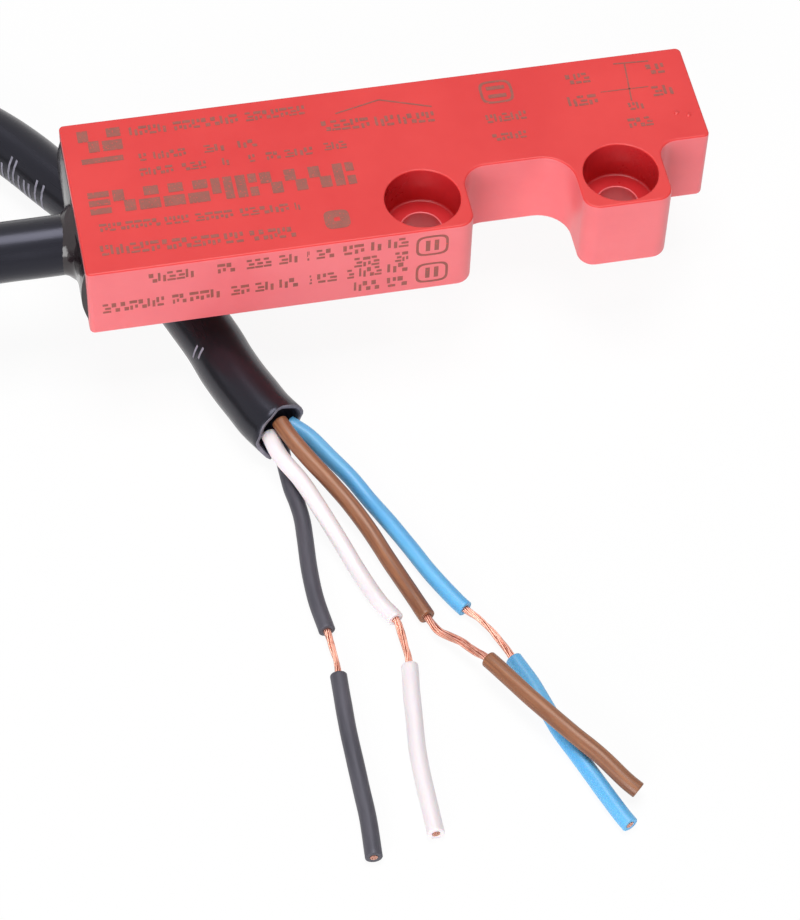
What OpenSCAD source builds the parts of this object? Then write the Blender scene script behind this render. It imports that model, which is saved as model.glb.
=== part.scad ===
// Magnetic safety switch: a potted reed switch housing with a cable moulded into one end.
// The mounting face lies at z = 0, the marked face looks up, and the cable leaves towards -X.
// All sizes are in millimetres.

/* [Housing] */
// Length of the housing, along X
body_l = 51; // [49:0.5:60]
// Width of the housing, along Y
body_w = 16; // [15.5:0.5:20]
// Height from the mounting face to the marked face
body_h = 7; // [6.8:0.1:9]
// Thickness of the moulded walls
wall = 0.9; // [0.6:0.1:1.1]
// Radius of the rear corner above the cable
rear_cable_r = 0.4; // [0.2:0.1:2]
// Radius of the corners at the far end
end_corner_r = 0.5; // [0.1:0.1:1]
// Radius of the front corner beside the cable
front_cable_r = 0.4; // [0.1:0.1:1]

/* [Fixing holes] */
// Diameter of the screw holes
hole_d = 3.2; // [2.5:0.1:3.8]
// Diameter of the counterbores
counterbore_d = 6.0; // [5:0.1:6.4]
// Depth of the counterbores below the marked face
counterbore_depth = 3.5; // [2:0.1:4.5]
// Distance between the two holes
hole_spacing = 16; // [15:0.5:20]
// Distance from the far end to the nearer hole
hole_from_end = 8; // [7.5:0.1:9]
// Distance from the front to the holes
hole_from_front = 3.4; // [3.4:0.1:3.8]
// Chamfer at the mouth of each hole
hole_chamfer = 0.2; // [0:0.05:0.3]

/* [Screw bosses] */
// Width of the lug around each counterbore
boss_w = 7.2; // [7:0.1:8]
// Depth of the recesses between and beside the lugs
recess_depth = 6.0; // [5:0.1:6.2]
// Radius of the lugs' outer corners
boss_corner_r = 1.3; // [0.5:0.1:2]
// Radius in the recess corner nearer the cable
recess_near_r = 2.0; // [0.5:0.1:3]
// Radius in the recess corner nearer the far end
recess_far_r = 2.6; // [0.5:0.1:3]
// Radius in the corner of the end step
step_r = 1.6; // [0.5:0.1:2.5]

/* [Potting] */
// How far the resin bulges out of the open end
resin_bulge = 0.4; // [0.2:0.1:0.6]
// Length of the resin collar that climbs the cable
collar_l = 0.8; // [0.3:0.1:1.5]
// Height of the collar above the jacket where it starts
collar_rise = 0.7; // [0.3:0.1:1]
// Height of the collar above the jacket where it ends
collar_lip = 0.05; // [0.02:0.01:0.2]

/* [Circuit board] */
// Thickness of the board
board_t = 0.8; // [0.6:0.1:1]
// Height of the board above the floor of the cavity
board_lift = 0.7; // [0.6:0.1:0.9]
// Clearance between the board's edges and the walls
board_gap = 0.4; // [0.2:0.1:0.6]
// Distance from the open end to the board
board_inset = 10.5; // [9:0.5:12]

/* [Reed switches] */
// Outer diameter of the closing contact's glass
reed_a_d = 1.8; // [1.6:0.1:2]
// Length of the closing contact's glass
reed_a_l = 10; // [9:0.5:11]
// Outer diameter of the changeover contact's glass
reed_b_d = 2.4; // [2.2:0.1:2.5]
// Length of the changeover contact's glass
reed_b_l = 12; // [11:0.5:12.5]
// Thickness of the glass wall
glass_wall = 0.3; // [0.2:0.05:0.3]
// Length of the glass seal at each end
seal_l = 1.5; // [1.2:0.1:1.6]
// Diameter of the closing contact's leads
lead_a_d = 0.5; // [0.4:0.05:0.6]
// Diameter of the changeover contact's leads
lead_b_d = 0.4; // [0.3:0.05:0.5]
// Thickness of the contact blades
blade_t = 0.2; // [0.15:0.01:0.2]
// Width of the contact blades
blade_w = 0.9; // [0.6:0.05:0.9]
// Overlap of the contact blades
blade_overlap = 1.2; // [0.8:0.1:1.4]
// Open gap of the closing contact
gap_a = 0.12; // [0.12:0.01:0.15]
// Travel of the changeover blade
gap_b = 0.16; // [0.16:0.01:0.2]
// Clearance at a blade that rests or turns
blade_gap = 0.03; // [0.02:0.005:0.04]
// Distance from the far end to the middle of the glass bodies
reed_from_end = 12.5; // [12:0.5:14]
// Length of lead between the glass and its bend
lead_reach = 1.5; // [1:0.1:2]
// Distance between the two leads at one end of the changeover contact
lead_b_pitch = 1.0; // [0.9:0.05:1.1]
// Gap between the two glass bodies
reed_gap = 0.3; // [0.2:0.05:0.5]
// Length of lead that shows below the board
pin_l = 0.4; // [0.2:0.05:0.45]
// Clearance round a lead in its board hole
pin_gap = 0.1; // [0.05:0.01:0.2]
// Clearance between the glass and the board
glass_lift = 0.05; // [0.02:0.01:0.1]

/* [Chip resistors] */
// Length of a chip
chip_l = 3.2; // [2:0.1:3.2]
// Width of a chip
chip_w = 1.6; // [1.2:0.1:1.6]
// Height of a chip
chip_h = 0.6; // [0.4:0.05:0.8]
// Length of a chip's metal end
chip_end = 0.5; // [0.3:0.05:0.7]
// Step between a chip's metal ends and its body
chip_step = 0.05; // [0.02:0.01:0.1]
// Distance from the middle of the glass bodies to the chips
chip_from_reed = 12; // [11.5:0.5:13]

/* [Cable] */
// Diameter of the cable's jacket
cable_d = 4.8; // [4.4:0.1:4.8]
// Distance of the cable from the middle of the housing, towards the front
exit_offset = 1.4; // [0:0.1:2]
// Length of jacket inside the resin
jacket_embed = 4.5; // [3:0.5:6]
// Clearance between the mounting face and the cable behind it, for a plate 2 mm thick
under_gap = 2.1; // [2.1:0.1:4]
// Mean diameter of the coil
coil_mean_d = 49; // [48:1:56]
// Turns side by side in the coil
coil_columns = 3; // [3:1:3]
// Turns on top of each other in the coil
coil_layers = 2; // [2:1:2]

/* [Cores] */
// Diameter of a core's insulation
core_d = 1.3; // [1.1:0.05:1.3]
// Clearance between the cores where they leave the jacket inside the resin
core_gap = 0.08; // [0.05:0.01:0.12]
// Diameter of a core's stranded conductor
conductor_d = 0.6; // [0.4:0.05:0.8]
// Length that a core runs straight where it leaves the jacket and where it lands
tail_straight = 0.8; // [0.4:0.1:1]
// Distance from the board's end to where the insulation stops inside
tail_on_board = 0.8; // [0.5:0.1:1.5]
// Distance from there to the solder pad
tail_bare_l = 1.8; // [1.4:0.1:2.5]
// Distance between the solder pads
pad_pitch = 3.0; // [2.4:0.1:3.2]
// Radius of a solder dome
solder_r = 1.0; // [0.9:0.05:1.2]
// Width of the solder foot round a lead
solder_foot = 0.25; // [0.15:0.05:0.25]

/* [Hidden] */
$fn = 48;
// Overlap that joins two shapes, and the overrun of a cut past the face it opens
eps = 0.01;
over = 1;

// Housing outline
x_cable = -body_l / 2;
x_end = body_l / 2;
y_front = -body_w / 2;
y_rear = body_w / 2;
hole_y = y_front + hole_from_front;
hole_far_x = x_end - hole_from_end;
hole_near_x = hole_far_x - hole_spacing;
recess_y = y_front + recess_depth;
near_boss_x1 = hole_near_x + boss_w / 2;
far_boss_x0 = hole_far_x - boss_w / 2;
far_boss_x1 = hole_far_x + boss_w / 2;

// Cavity: full width beside the cable, then a channel behind the counterbores
cavity_z0 = wall;
cavity_z1 = body_h - wall;
cavity_x1 = x_end - wall;
cavity_y1 = y_rear - wall;
wide_x1 = hole_near_x - counterbore_d / 2 - wall;
wide_y0 = y_front + wall;
channel_y0 = max(hole_y + counterbore_d / 2, recess_y) + wall;

// Cable exit and the surface that the cable lies on
exit = [x_cable, -exit_offset, body_h / 2];
jacket_x = x_cable + jacket_embed;
surface_z = -(under_gap + cable_d);
cable_lie_z = surface_z + cable_d / 2;
core_lie_z = surface_z + core_d / 2;
coil_top_z = cable_lie_z + (coil_layers - 1) * cable_d;
core_ring_r = (core_d + core_gap) / sqrt(2);

// Board
board_z = cavity_z0 + board_lift;
board_top = board_z + board_t;
board_x0 = x_cable + board_inset;
pin_z = board_z - pin_l;

// Glass bodies lie side by side in the channel
reed_x = x_end - reed_from_end;
pair_y0 = (channel_y0 + cavity_y1 - reed_a_d - reed_b_d - reed_gap) / 2;
reed_b_y = pair_y0 + reed_b_d / 2;
reed_a_y = pair_y0 + reed_b_d + reed_gap + reed_a_d / 2;
reed_a_z = board_top + glass_lift + reed_a_d / 2;
reed_b_z = board_top + glass_lift + reed_b_d / 2;
lead_b_off = lead_b_pitch / 2;
blade_a_off = (gap_a + blade_t) / 2;

// Solder pads and chips
tail_x = board_x0 + tail_on_board;
pad_x = tail_x + tail_bare_l;
tail_z = board_top + core_d / 2;
chip_x = reed_x - chip_from_reed;

// Route of the jacket from the resin to the coil: x and y from the exit, and the share of the
// way from the exit's height to the height of the coil's upper turns
exit_route = [
    [4.5, 0, 0], [0, 0, 0], [-3.2, 0, 0], [-6.3, 0, 0], [-9.2, -0.2, 0.02], [-12, -1, 0.08],
    [-14.6, -2.2, 0.2], [-16.9, -3.9, 0.35], [-18.9, -5.9, 0.52], [-20.6, -8.3, 0.7],
    [-21.8, -10.9, 0.87], [-22.5, -13.6, 1]
];

// Centre of the coil from the exit
coil_at = [-51.3, -9.1];

// Route of the jacket from the coil to its cut end: x and y from the exit, lying on the surface
return_route = [
    [-55.7, 19.9], [-47, 21.2], [-38.4, 23], [-30, 24.9], [-22.1, 26.3], [-15.6, 26.2],
    [-9.7, 23.9], [-6.2, 21.4], [-4.2, 19.4], [-2.4, 17.1], [-0.7, 14.6], [2.2, 10.4],
    [4.9, 6], [7.3, 1.3], [9.1, -3.4], [9.9, -5.7], [10.5, -7.9], [11.2, -9.9],
    [11.9, -11.6], [12.6, -13.3], [13.5, -14.9]
];

// Routes of the cores: x and y from the exit, and the height above a core that lies down
white_route = [
    [12.6, -15.3, 1.75], [13.1, -17.5, 1.65], [14.3, -20, 1.45], [15.3, -22.8, 1.2],
    [16.3, -25.6, 0.65], [17.3, -28.6, 0.15], [18.3, -31.4, 0], [19.2, -33.2, 0]
];
white_bare = [[19.2, -33.2, 0], [19.4, -35.1, 0], [19.4, -37.5, 0]];
white_off = [
    [19.4, -37.5, 0], [19.1, -39.7, 0], [18.8, -42.3, 0], [18.5, -44.9, 0],
    [18.4, -47.6, 0], [18.4, -50.1, 0], [18.4, -52.2, 0]
];
brown_route = [
    [13.5, -14.9, 2.65], [14.2, -16.7, 2.5], [15.3, -18.6, 1.95], [16.5, -20.4, 1.35],
    [17.7, -22.4, 0.75], [18.8, -24.8, 0.25], [19.8, -27.8, 0], [20.8, -30.9, 0], [21.6, -33.4, 0]
];
brown_bare = [
    [21.6, -33.4, 0], [22.1, -34.8, 0.15], [22.8, -35.7, 0.35], [23.6, -36.6, 0.65],
    [24.4, -37.8, 0.95], [25.1, -38.8, 1.25]
];
brown_off = [
    [25.1, -38.8, 1.25], [26.3, -40.9, 1.4], [27.4, -42.8, 1.45], [28.5, -44.5, 1.45],
    [29.9, -46.6, 1.4], [31.4, -48.6, 1.2], [32.8, -50.6, 0.7], [33.6, -51.5, 0.4]
];
blue_route = [
    [14.3, -14.5, 1.75], [15.7, -15.9, 1.45], [17, -17.7, 0.85], [18.3, -19.6, 0.35], [19.4, -21.8, 0],
    [20.5, -24.2, 0], [21.6, -26.8, 0], [22.6, -29.3, 0], [23.7, -31.6, 0], [24.6, -33.2, 0]
];
blue_bare = [[24.6, -33.2, 0], [25.5, -34.4, 0], [26.2, -35.6, 0], [26.7, -36.8, 0], [27.2, -38.3, 0]];
blue_off = [
    [27.2, -38.3, 0], [28, -40.5, 0], [28.6, -42.8, 0], [29.2, -45.2, 0],
    [30.1, -47.7, 0], [31, -50.3, 0], [31.9, -52.8, 0], [32.4, -54, 0]
];
black_route = [
    [13.4, -14.9, 0.85], [13.5, -17.1, 0.25], [13.6, -19.4, 0], [13.8, -21, 0], [13.9, -22.7, 0],
    [13.8, -24.6, 0], [13.6, -27.5, 0], [13.6, -30.4, 0], [13.9, -33.3, 0]
];
black_bare = [[13.9, -33.3, 0], [14, -34.9, 0], [14.1, -36.3, 0], [14, -37.4, 0]];
black_off = [
    [14, -37.4, 0], [13.9, -39.6, 0], [13.8, -42.3, 0], [13.8, -44.9, 0],
    [13.8, -47.6, 0], [13.8, -50.1, 0], [13.6, -53.3, 0]
];

// Seats of the four cores inside the jacket, as y and z from its axis
core_seats = [[0, -core_ring_r], [0, core_ring_r], [core_ring_r, 0], [-core_ring_r, 0]];
// Solder pad that each core goes to, counted from the front
core_pads = [2, 1, 3, 0];

function unit(v) = v / norm(v);
function heading(path, i) =
    unit(path[min(i + 1, len(path) - 1)] - path[max(i - 1, 0)]);
function ring(path, i, r, sides) =
    let (t = heading(path, i), n = unit(cross([0, 0, 1], t)), b = cross(t, n))
    [for (k = [0 : sides - 1]) path[i] + r * (cos(360 * k / sides) * n + sin(360 * k / sides) * b)];

// Round cord swept along a path
module swept(path, r, sides) {
    rings = len(path);
    points = [for (i = [0 : rings - 1]) each ring(path, i, r, sides)];
    near_cap = [for (k = [0 : sides - 1]) k];
    far_cap = [for (k = [sides - 1 : -1 : 0]) (rings - 1) * sides + k];
    walls = [
        for (i = [0 : rings - 2], k = [0 : sides - 1])
            let (a = i * sides + k, b = i * sides + (k + 1) % sides)
            [a, a + sides, b + sides, b]
    ];
    polyhedron(points, concat([near_cap], walls, [far_cap]), convexity = 6);
}

function on_surface(route) = [for (p = route) [exit.x + p.x, exit.y + p.y, core_lie_z + p.z]];

// Straight round bar between two points
module rod(a, b, r) {
    d = b - a;
    translate(a)
        rotate([0, acos(d.z / norm(d)), atan2(d.y, d.x)])
            cylinder(h = norm(d), r = r);
}

// Waste that rounds a corner off, where inward points into the material
module round_off(corner, inward, r) {
    difference() {
        translate(corner + inward * (r - eps) / 2) square(r + eps, center = true);
        translate(corner + inward * r) circle(r = r);
    }
}

// Outline of the housing seen from above
module outline() {
    difference() {
        translate([x_cable, y_front]) square([body_l, body_w]);
        middle_recess();
        end_step();
        round_off([x_cable, y_rear], [1, -1], rear_cable_r);
        round_off([x_cable, y_front], [1, 1], front_cable_r);
        round_off([x_end, y_rear], [-1, -1], end_corner_r);
        round_off([x_end, recess_y], [-1, 1], end_corner_r);
        round_off([near_boss_x1, y_front], [-1, 1], boss_corner_r);
        round_off([far_boss_x0, y_front], [1, 1], boss_corner_r);
        round_off([far_boss_x1, y_front], [-1, 1], boss_corner_r);
    }
}

module middle_recess() {
    difference() {
        translate([near_boss_x1, y_front - over])
            square([far_boss_x0 - near_boss_x1, recess_depth + over]);
        round_off([near_boss_x1, recess_y], [1, -1], recess_near_r);
        round_off([far_boss_x0, recess_y], [-1, -1], recess_far_r);
    }
}

module end_step() {
    difference() {
        translate([far_boss_x1, y_front - over])
            square([x_end - far_boss_x1 + over, recess_depth + over]);
        round_off([far_boss_x1, recess_y], [1, -1], step_r);
    }
}

// Space inside the walls, reaching x0 at the cable end
module cavity(x0) {
    translate([x0, wide_y0, cavity_z0])
        cube([wide_x1 - x0, cavity_y1 - wide_y0, cavity_z1 - cavity_z0]);
    translate([wide_x1 - eps, channel_y0, cavity_z0])
        cube([cavity_x1 - wide_x1 + eps, cavity_y1 - channel_y0, cavity_z1 - cavity_z0]);
}

module screw_hole(x) {
    translate([x, hole_y, 0]) {
        translate([0, 0, -over]) cylinder(h = body_h + 2 * over, d = hole_d);
        translate([0, 0, body_h - counterbore_depth])
            cylinder(h = counterbore_depth + over, d = counterbore_d);
        translate([0, 0, -eps])
            cylinder(h = hole_chamfer + eps, d1 = hole_d + 2 * (hole_chamfer + eps), d2 = hole_d);
        translate([0, 0, body_h - hole_chamfer])
            cylinder(h = hole_chamfer + eps, d1 = counterbore_d,
                     d2 = counterbore_d + 2 * (hole_chamfer + eps));
    }
}

module housing() {
    color("#e8474a") difference() {
        linear_extrude(body_h) outline();
        cavity(x_cable - over);
        screw_hole(hole_near_x);
        screw_hole(hole_far_x);
    }
}

// Resin surface that bulges out of the open end, round about an axis along Y
module resin_face() {
    half = (cavity_z1 - cavity_z0) / 2;
    r = (half * half + resin_bulge * resin_bulge) / (2 * resin_bulge);
    intersection() {
        translate([x_cable - resin_bulge + r, 0, body_h / 2]) rotate([90, 0, 0])
            cylinder(h = body_w, r = r, center = true);
        cavity(x_cable - resin_bulge - over);
    }
}

// Resin that climbs the jacket where it leaves
module resin_collar() {
    start_x = x_cable - resin_bulge / 2;
    intersection() {
        translate([start_x, exit.y, exit.z]) rotate([0, -90, 0])
            cylinder(h = collar_l, r1 = cable_d / 2 + collar_rise, r2 = cable_d / 2 + collar_lip);
        translate([start_x - collar_l - over, y_front, cavity_z0])
            cube([collar_l + 2 * over, body_w, cavity_z1 - cavity_z0]);
    }
}

module potting_resin() {
    color("#2a2326") difference() {
        union() {
            cavity(x_cable);
            resin_face();
            resin_collar();
        }
        rod([x_cable - resin_bulge - collar_l - over, exit.y, exit.z], [jacket_x, exit.y, exit.z],
            cable_d / 2);
        circuit_board();
        reed_a_body();
        reed_b_body();
        reed_a_wires();
        reed_b_wires();
        chip(resistor_a_y());
        chip(resistor_b_y());
        solder_joints();
        for (i = [0 : 3]) tail(i);
    }
}

function pad_y(i) = (wide_y0 + cavity_y1) / 2 + (core_pads[i] - 1.5) * pad_pitch;
function pins() = [
    [reed_x - reed_a_l / 2 - lead_reach, reed_a_y, lead_a_d],
    [reed_x + reed_a_l / 2 + lead_reach, reed_a_y, lead_a_d],
    [reed_x - reed_b_l / 2 - lead_reach, reed_b_y - lead_b_off, lead_b_d],
    [reed_x - reed_b_l / 2 - lead_reach, reed_b_y + lead_b_off, lead_b_d],
    [reed_x + reed_b_l / 2 + lead_reach, reed_b_y, lead_b_d]
];

module circuit_board() {
    color("#2f6b45") difference() {
        translate([0, 0, board_z]) linear_extrude(board_t) union() {
            translate([board_x0, wide_y0 + board_gap])
                square([wide_x1 - board_gap - board_x0, cavity_y1 - wide_y0 - 2 * board_gap]);
            translate([wide_x1 - board_gap - eps, channel_y0 + board_gap])
                square([cavity_x1 - wide_x1 + eps, cavity_y1 - channel_y0 - 2 * board_gap]);
        }
        for (p = pins())
            translate([p.x, p.y, board_z - over])
                cylinder(h = board_t + 2 * over, d = p.z + 2 * pin_gap);
    }
}

// Glass body on the X axis, solid outside
module capsule(l, d) {
    rod([-l / 2 + d / 2, 0, 0], [l / 2 - d / 2, 0, 0], d / 2);
    for (s = [-1, 1]) translate([s * (l / 2 - d / 2), 0, 0]) sphere(d = d);
}

module capsule_bore(l, d) {
    rod([-l / 2 + seal_l, 0, 0], [l / 2 - seal_l, 0, 0], d / 2 - glass_wall);
}

module reed_a_body() translate([reed_x, reed_a_y, reed_a_z]) capsule(reed_a_l, reed_a_d);
module reed_b_body() translate([reed_x, reed_b_y, reed_b_z]) capsule(reed_b_l, reed_b_d);

module reed_a_glass() {
    color("#bfe0d8", 0.5) difference() {
        reed_a_body();
        translate([reed_x, reed_a_y, reed_a_z]) capsule_bore(reed_a_l, reed_a_d);
        reed_a_wires();
    }
}

module reed_b_glass() {
    color("#bfe0d8", 0.5) difference() {
        reed_b_body();
        translate([reed_x, reed_b_y, reed_b_z]) capsule_bore(reed_b_l, reed_b_d);
        reed_b_wires();
    }
}

// Round lead from the glass seal outwards, bent down through the board; side is -1 or 1
module lead(l, y, z, d, side) {
    inner_x = reed_x + side * (l / 2 - seal_l);
    bend = [reed_x + side * (l / 2 + lead_reach), y, z];
    rod([inner_x, y, z], bend, d / 2);
    translate(bend) sphere(d = d);
    rod(bend, [bend.x, y, pin_z], d / 2);
}

// Flat contact blade with a rounded tip, from x0 towards the other seal; side is its own end
module blade(x0, y, z, l, side) {
    translate([x0, y + blade_t / 2, z]) rotate([90, 0, 0]) linear_extrude(blade_t) {
        translate([side < 0 ? 0 : -(l - blade_w / 2), -blade_w / 2]) square([l - blade_w / 2, blade_w]);
        translate([-side * (l - blade_w / 2), 0]) circle(d = blade_w);
    }
}

// Reach of a blade from its seal, so that the pair overlaps in the middle
function blade_l(l) = l / 2 - seal_l + blade_overlap / 2;

module reed_a_wires() {
    lead(reed_a_l, reed_a_y, reed_a_z, lead_a_d, -1);
    lead(reed_a_l, reed_a_y, reed_a_z, lead_a_d, 1);
}

module reed_b_wires() {
    for (s = [-1, 1]) lead(reed_b_l, reed_b_y + s * lead_b_off, reed_b_z, lead_b_d, -1);
    lead(reed_b_l, reed_b_y, reed_b_z, lead_b_d, 1);
}

module reed_a_fixed_lead() {
    color("#c9ccd1") union() {
        lead(reed_a_l, reed_a_y, reed_a_z, lead_a_d, -1);
        blade(reed_x - reed_a_l / 2 + seal_l - eps, reed_a_y - blade_a_off, reed_a_z,
              blade_l(reed_a_l) + eps, -1);
    }
}

module reed_a_moving_lead() {
    color("#c9ccd1") lead(reed_a_l, reed_a_y, reed_a_z, lead_a_d, 1);
}

module reed_a_blade() {
    color("#d8c98a") blade(reed_x + reed_a_l / 2 - seal_l - blade_gap, reed_a_y + blade_a_off,
                           reed_a_z, blade_l(reed_a_l) - blade_gap, 1);
}

// The changeover blade rests beside the closed contact and swings to the open one
module reed_b_open_lead() {
    color("#c9ccd1") union() {
        lead(reed_b_l, reed_b_y - lead_b_off, reed_b_z, lead_b_d, -1);
        blade(reed_x - reed_b_l / 2 + seal_l - eps, reed_b_y - blade_t - gap_b, reed_b_z,
              blade_l(reed_b_l) + eps, -1);
    }
}

module reed_b_closed_lead() {
    color("#c9ccd1") union() {
        lead(reed_b_l, reed_b_y + lead_b_off, reed_b_z, lead_b_d, -1);
        blade(reed_x - reed_b_l / 2 + seal_l - eps, reed_b_y + blade_t + blade_gap, reed_b_z,
              blade_l(reed_b_l) + eps, -1);
    }
}

module reed_b_common_lead() {
    color("#c9ccd1") lead(reed_b_l, reed_b_y, reed_b_z, lead_b_d, 1);
}

module reed_b_blade() {
    color("#d8c98a") blade(reed_x + reed_b_l / 2 - seal_l - blade_gap, reed_b_y, reed_b_z,
                           blade_l(reed_b_l) - blade_gap, 1);
}

function resistor_a_y() = reed_a_y;
function resistor_b_y() = reed_b_y;

// Chip resistor with metal ends, lying on the board
module chip(y) {
    translate([chip_x - chip_l / 2, y - chip_w / 2, board_top]) {
        translate([chip_end, chip_step, 0])
            cube([chip_l - 2 * chip_end, chip_w - 2 * chip_step, chip_h - chip_step]);
        for (x = [0, chip_l - chip_end]) translate([x, 0, 0]) cube([chip_end, chip_w, chip_h]);
    }
}

module resistor_a() color("#3a3a40") chip(resistor_a_y());
module resistor_b() color("#3a3a40") chip(resistor_b_y());

// Insulated core end that fans out from the jacket to its pad, with its bare end in the solder
module tail(i) {
    path = [
        [jacket_x, exit.y + core_seats[i].x, exit.z + core_seats[i].y],
        [jacket_x + tail_straight, exit.y + core_seats[i].x, exit.z + core_seats[i].y],
        [board_x0 - tail_straight, pad_y(i), tail_z],
        [board_x0, pad_y(i), tail_z],
        [tail_x, pad_y(i), tail_z]
    ];
    swept(path, core_d / 2, 8);
    rod([tail_x - eps, pad_y(i), tail_z], [pad_x + conductor_d, pad_y(i), tail_z], conductor_d / 2);
}

module white_tail() color("#e8e4e0") tail(0);
module brown_tail() color("#a0603c") tail(1);
module blue_tail() color("#3fa8f0") tail(2);
module black_tail() color("#33323a") tail(3);

module solder_joints() {
    color("#b9bcc2") {
        for (i = [0 : 3]) difference() {
            translate([pad_x, pad_y(i), board_top]) sphere(r = solder_r);
            translate([pad_x, pad_y(i), board_top - solder_r]) cube(2 * solder_r, center = true);
            tail(i);
        }
        for (p = pins()) difference() {
            translate([p.x, p.y, pin_z])
                cylinder(h = pin_l, d1 = p.z + solder_foot / 2, d2 = p.z + 2 * solder_foot);
            translate([p.x, p.y, pin_z - over]) cylinder(h = pin_l + 2 * over, d = p.z);
        }
    }
}

module cable_exit_run() {
    path = [for (p = exit_route)
        [exit.x + p.x, exit.y + p.y, exit.z + p.z * (coil_top_z - exit.z)]];
    color("#26252b") swept(path, cable_d / 2, 12);
}

// The coiled part of the cable as one closed ring
module cable_coil() {
    w = coil_columns * cable_d;
    h = coil_layers * cable_d;
    r = cable_d / 2;
    color("#26252b") translate([exit.x + coil_at.x, exit.y + coil_at.y, surface_z])
        rotate_extrude() translate([coil_mean_d / 2, 0]) difference() {
            translate([-w / 2, 0]) square([w, h]);
            for (sx = [-1, 1], top = [0, 1])
                round_off([sx * w / 2, top * h], [-sx, 1 - 2 * top], r);
        }
}

module cable_return_run() {
    path = [for (p = return_route) [exit.x + p.x, exit.y + p.y, cable_lie_z]];
    color("#26252b") swept(path, cable_d / 2, 12);
}

module core(route, shade) color(shade) swept(on_surface(route), core_d / 2, 8);
module conductor(route) color("#d08a62") swept(on_surface(route), conductor_d / 2, 8);

module white_core() core(white_route, "#e8e4e0");
module brown_core() core(brown_route, "#a0603c");
module blue_core() core(blue_route, "#3fa8f0");
module black_core() core(black_route, "#33323a");
module white_conductor() conductor(white_bare);
module brown_conductor() conductor(brown_bare);
module blue_conductor() conductor(blue_bare);
module black_conductor() conductor(black_bare);
module white_slug() core(white_off, "#e8e4e0");
module brown_slug() core(brown_off, "#a0603c");
module blue_slug() core(blue_off, "#3fa8f0");
module black_slug() core(black_off, "#33323a");

housing();
potting_resin();
circuit_board();
reed_a_glass();
reed_a_fixed_lead();
reed_a_moving_lead();
reed_a_blade();
reed_b_glass();
reed_b_open_lead();
reed_b_closed_lead();
reed_b_common_lead();
reed_b_blade();
resistor_a();
resistor_b();
solder_joints();
white_tail();
brown_tail();
blue_tail();
black_tail();
cable_exit_run();
cable_coil();
cable_return_run();
white_core();
brown_core();
blue_core();
black_core();
white_conductor();
brown_conductor();
blue_conductor();
black_conductor();
white_slug();
brown_slug();
blue_slug();
black_slug();
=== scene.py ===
"""Looks of a potted magnetic safety switch: housing, flying lead, cut cores and the works inside."""

from __future__ import annotations

import logging
import math
import random
from bisect import bisect_right
from dataclasses import dataclass, field
from enum import Enum, IntEnum

import bmesh
import bpy
from mathutils import Matrix, Vector, noise
from mathutils.geometry import tessellate_polygon

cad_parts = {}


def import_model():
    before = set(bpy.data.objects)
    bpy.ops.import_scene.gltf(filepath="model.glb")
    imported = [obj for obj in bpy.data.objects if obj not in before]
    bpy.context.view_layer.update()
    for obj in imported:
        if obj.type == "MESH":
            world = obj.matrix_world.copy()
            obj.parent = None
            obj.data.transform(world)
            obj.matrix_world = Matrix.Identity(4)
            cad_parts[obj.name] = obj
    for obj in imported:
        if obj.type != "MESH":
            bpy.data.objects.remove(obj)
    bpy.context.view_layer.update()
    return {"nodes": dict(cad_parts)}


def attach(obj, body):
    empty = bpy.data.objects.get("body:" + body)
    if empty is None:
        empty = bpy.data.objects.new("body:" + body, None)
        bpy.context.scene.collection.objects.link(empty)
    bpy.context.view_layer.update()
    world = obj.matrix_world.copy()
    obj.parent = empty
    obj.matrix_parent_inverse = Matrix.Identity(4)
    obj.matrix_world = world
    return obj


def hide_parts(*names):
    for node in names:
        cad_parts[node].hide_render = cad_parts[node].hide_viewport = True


log = logging.getLogger("safety_switch")

MM = 0.001
BODY = "switch_body"
# Point attribute with the place round and along a tube, which extruded finishes follow
TUBE_PLACE = "tube_place"
# Span of a noise's values over which the tone and the roughness of a finish change
NOISE_SPAN = (0.3, 0.7)
# Octaves of the slow changes of tone and of the fine relief, and how much the small ones tell
SLOW_NOISE = {"Detail": 4.0, "Roughness": 0.6}
FINE_NOISE = {"Detail": 3.0, "Roughness": 0.55}
# Radius in mm that a corner keeps when its outline is drawn in past it
LEAST_RADIUS = 0.01
# Twice the area in mm2 below which a filling face is left out
NO_AREA = 1e-12
# How far printed ink lies clear of the face below it, in mm
INK_RISE = 0.015

Point = tuple[float, float, float]
Colour = tuple[float, float, float, float]
Frame = tuple[Vector, Vector, Vector]
Triple = tuple[float, float, float]
Box = tuple[float, float, float, float]


def linear(hex_colour: str) -> Colour:
    """Turn an sRGB hex colour into linear light.

    Args:
        hex_colour: Six hex digits after a hash sign.

    Returns:
        Red, green, blue and alpha in linear light.
    """
    parts = [int(hex_colour[i:i + 2], 16) / 255 for i in (1, 3, 5)]
    red, green, blue = [c / 12.92 if c <= 0.04045 else ((c + 0.055) / 1.055) ** 2.4 for c in parts]
    return (red, green, blue, 1.0)


def add_node(tree: bpy.types.NodeTree, kind: str, inputs: dict[str | int, object] | None = None,
             stops: tuple[tuple[float, Colour], ...] = (), **settings: object) -> bpy.types.Node:
    """Add one node to a tree.

    Args:
        tree: The tree that takes the node.
        kind: The node's type, such as ShaderNodeBump.
        inputs: Value or linked output for each input, by its name or number.
        stops: Position and colour of each stop, for a node with two stops.
        **settings: Properties of the node.

    Returns:
        The new node.
    """
    node = tree.nodes.new(kind)
    for name, value in settings.items():
        setattr(node, name, value)
    for key, value in (inputs or {}).items():
        if isinstance(value, bpy.types.NodeSocket):
            tree.links.new(value, node.inputs[key])
        else:
            node.inputs[key].default_value = value
    for i, (place, colour) in enumerate(stops):
        node.color_ramp.elements[i].position = place
        node.color_ramp.elements[i].color = colour
    return node


def grey(level: float) -> Colour:
    """Return a neutral colour of that linear level."""
    return (level, level, level, 1.0)


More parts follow.
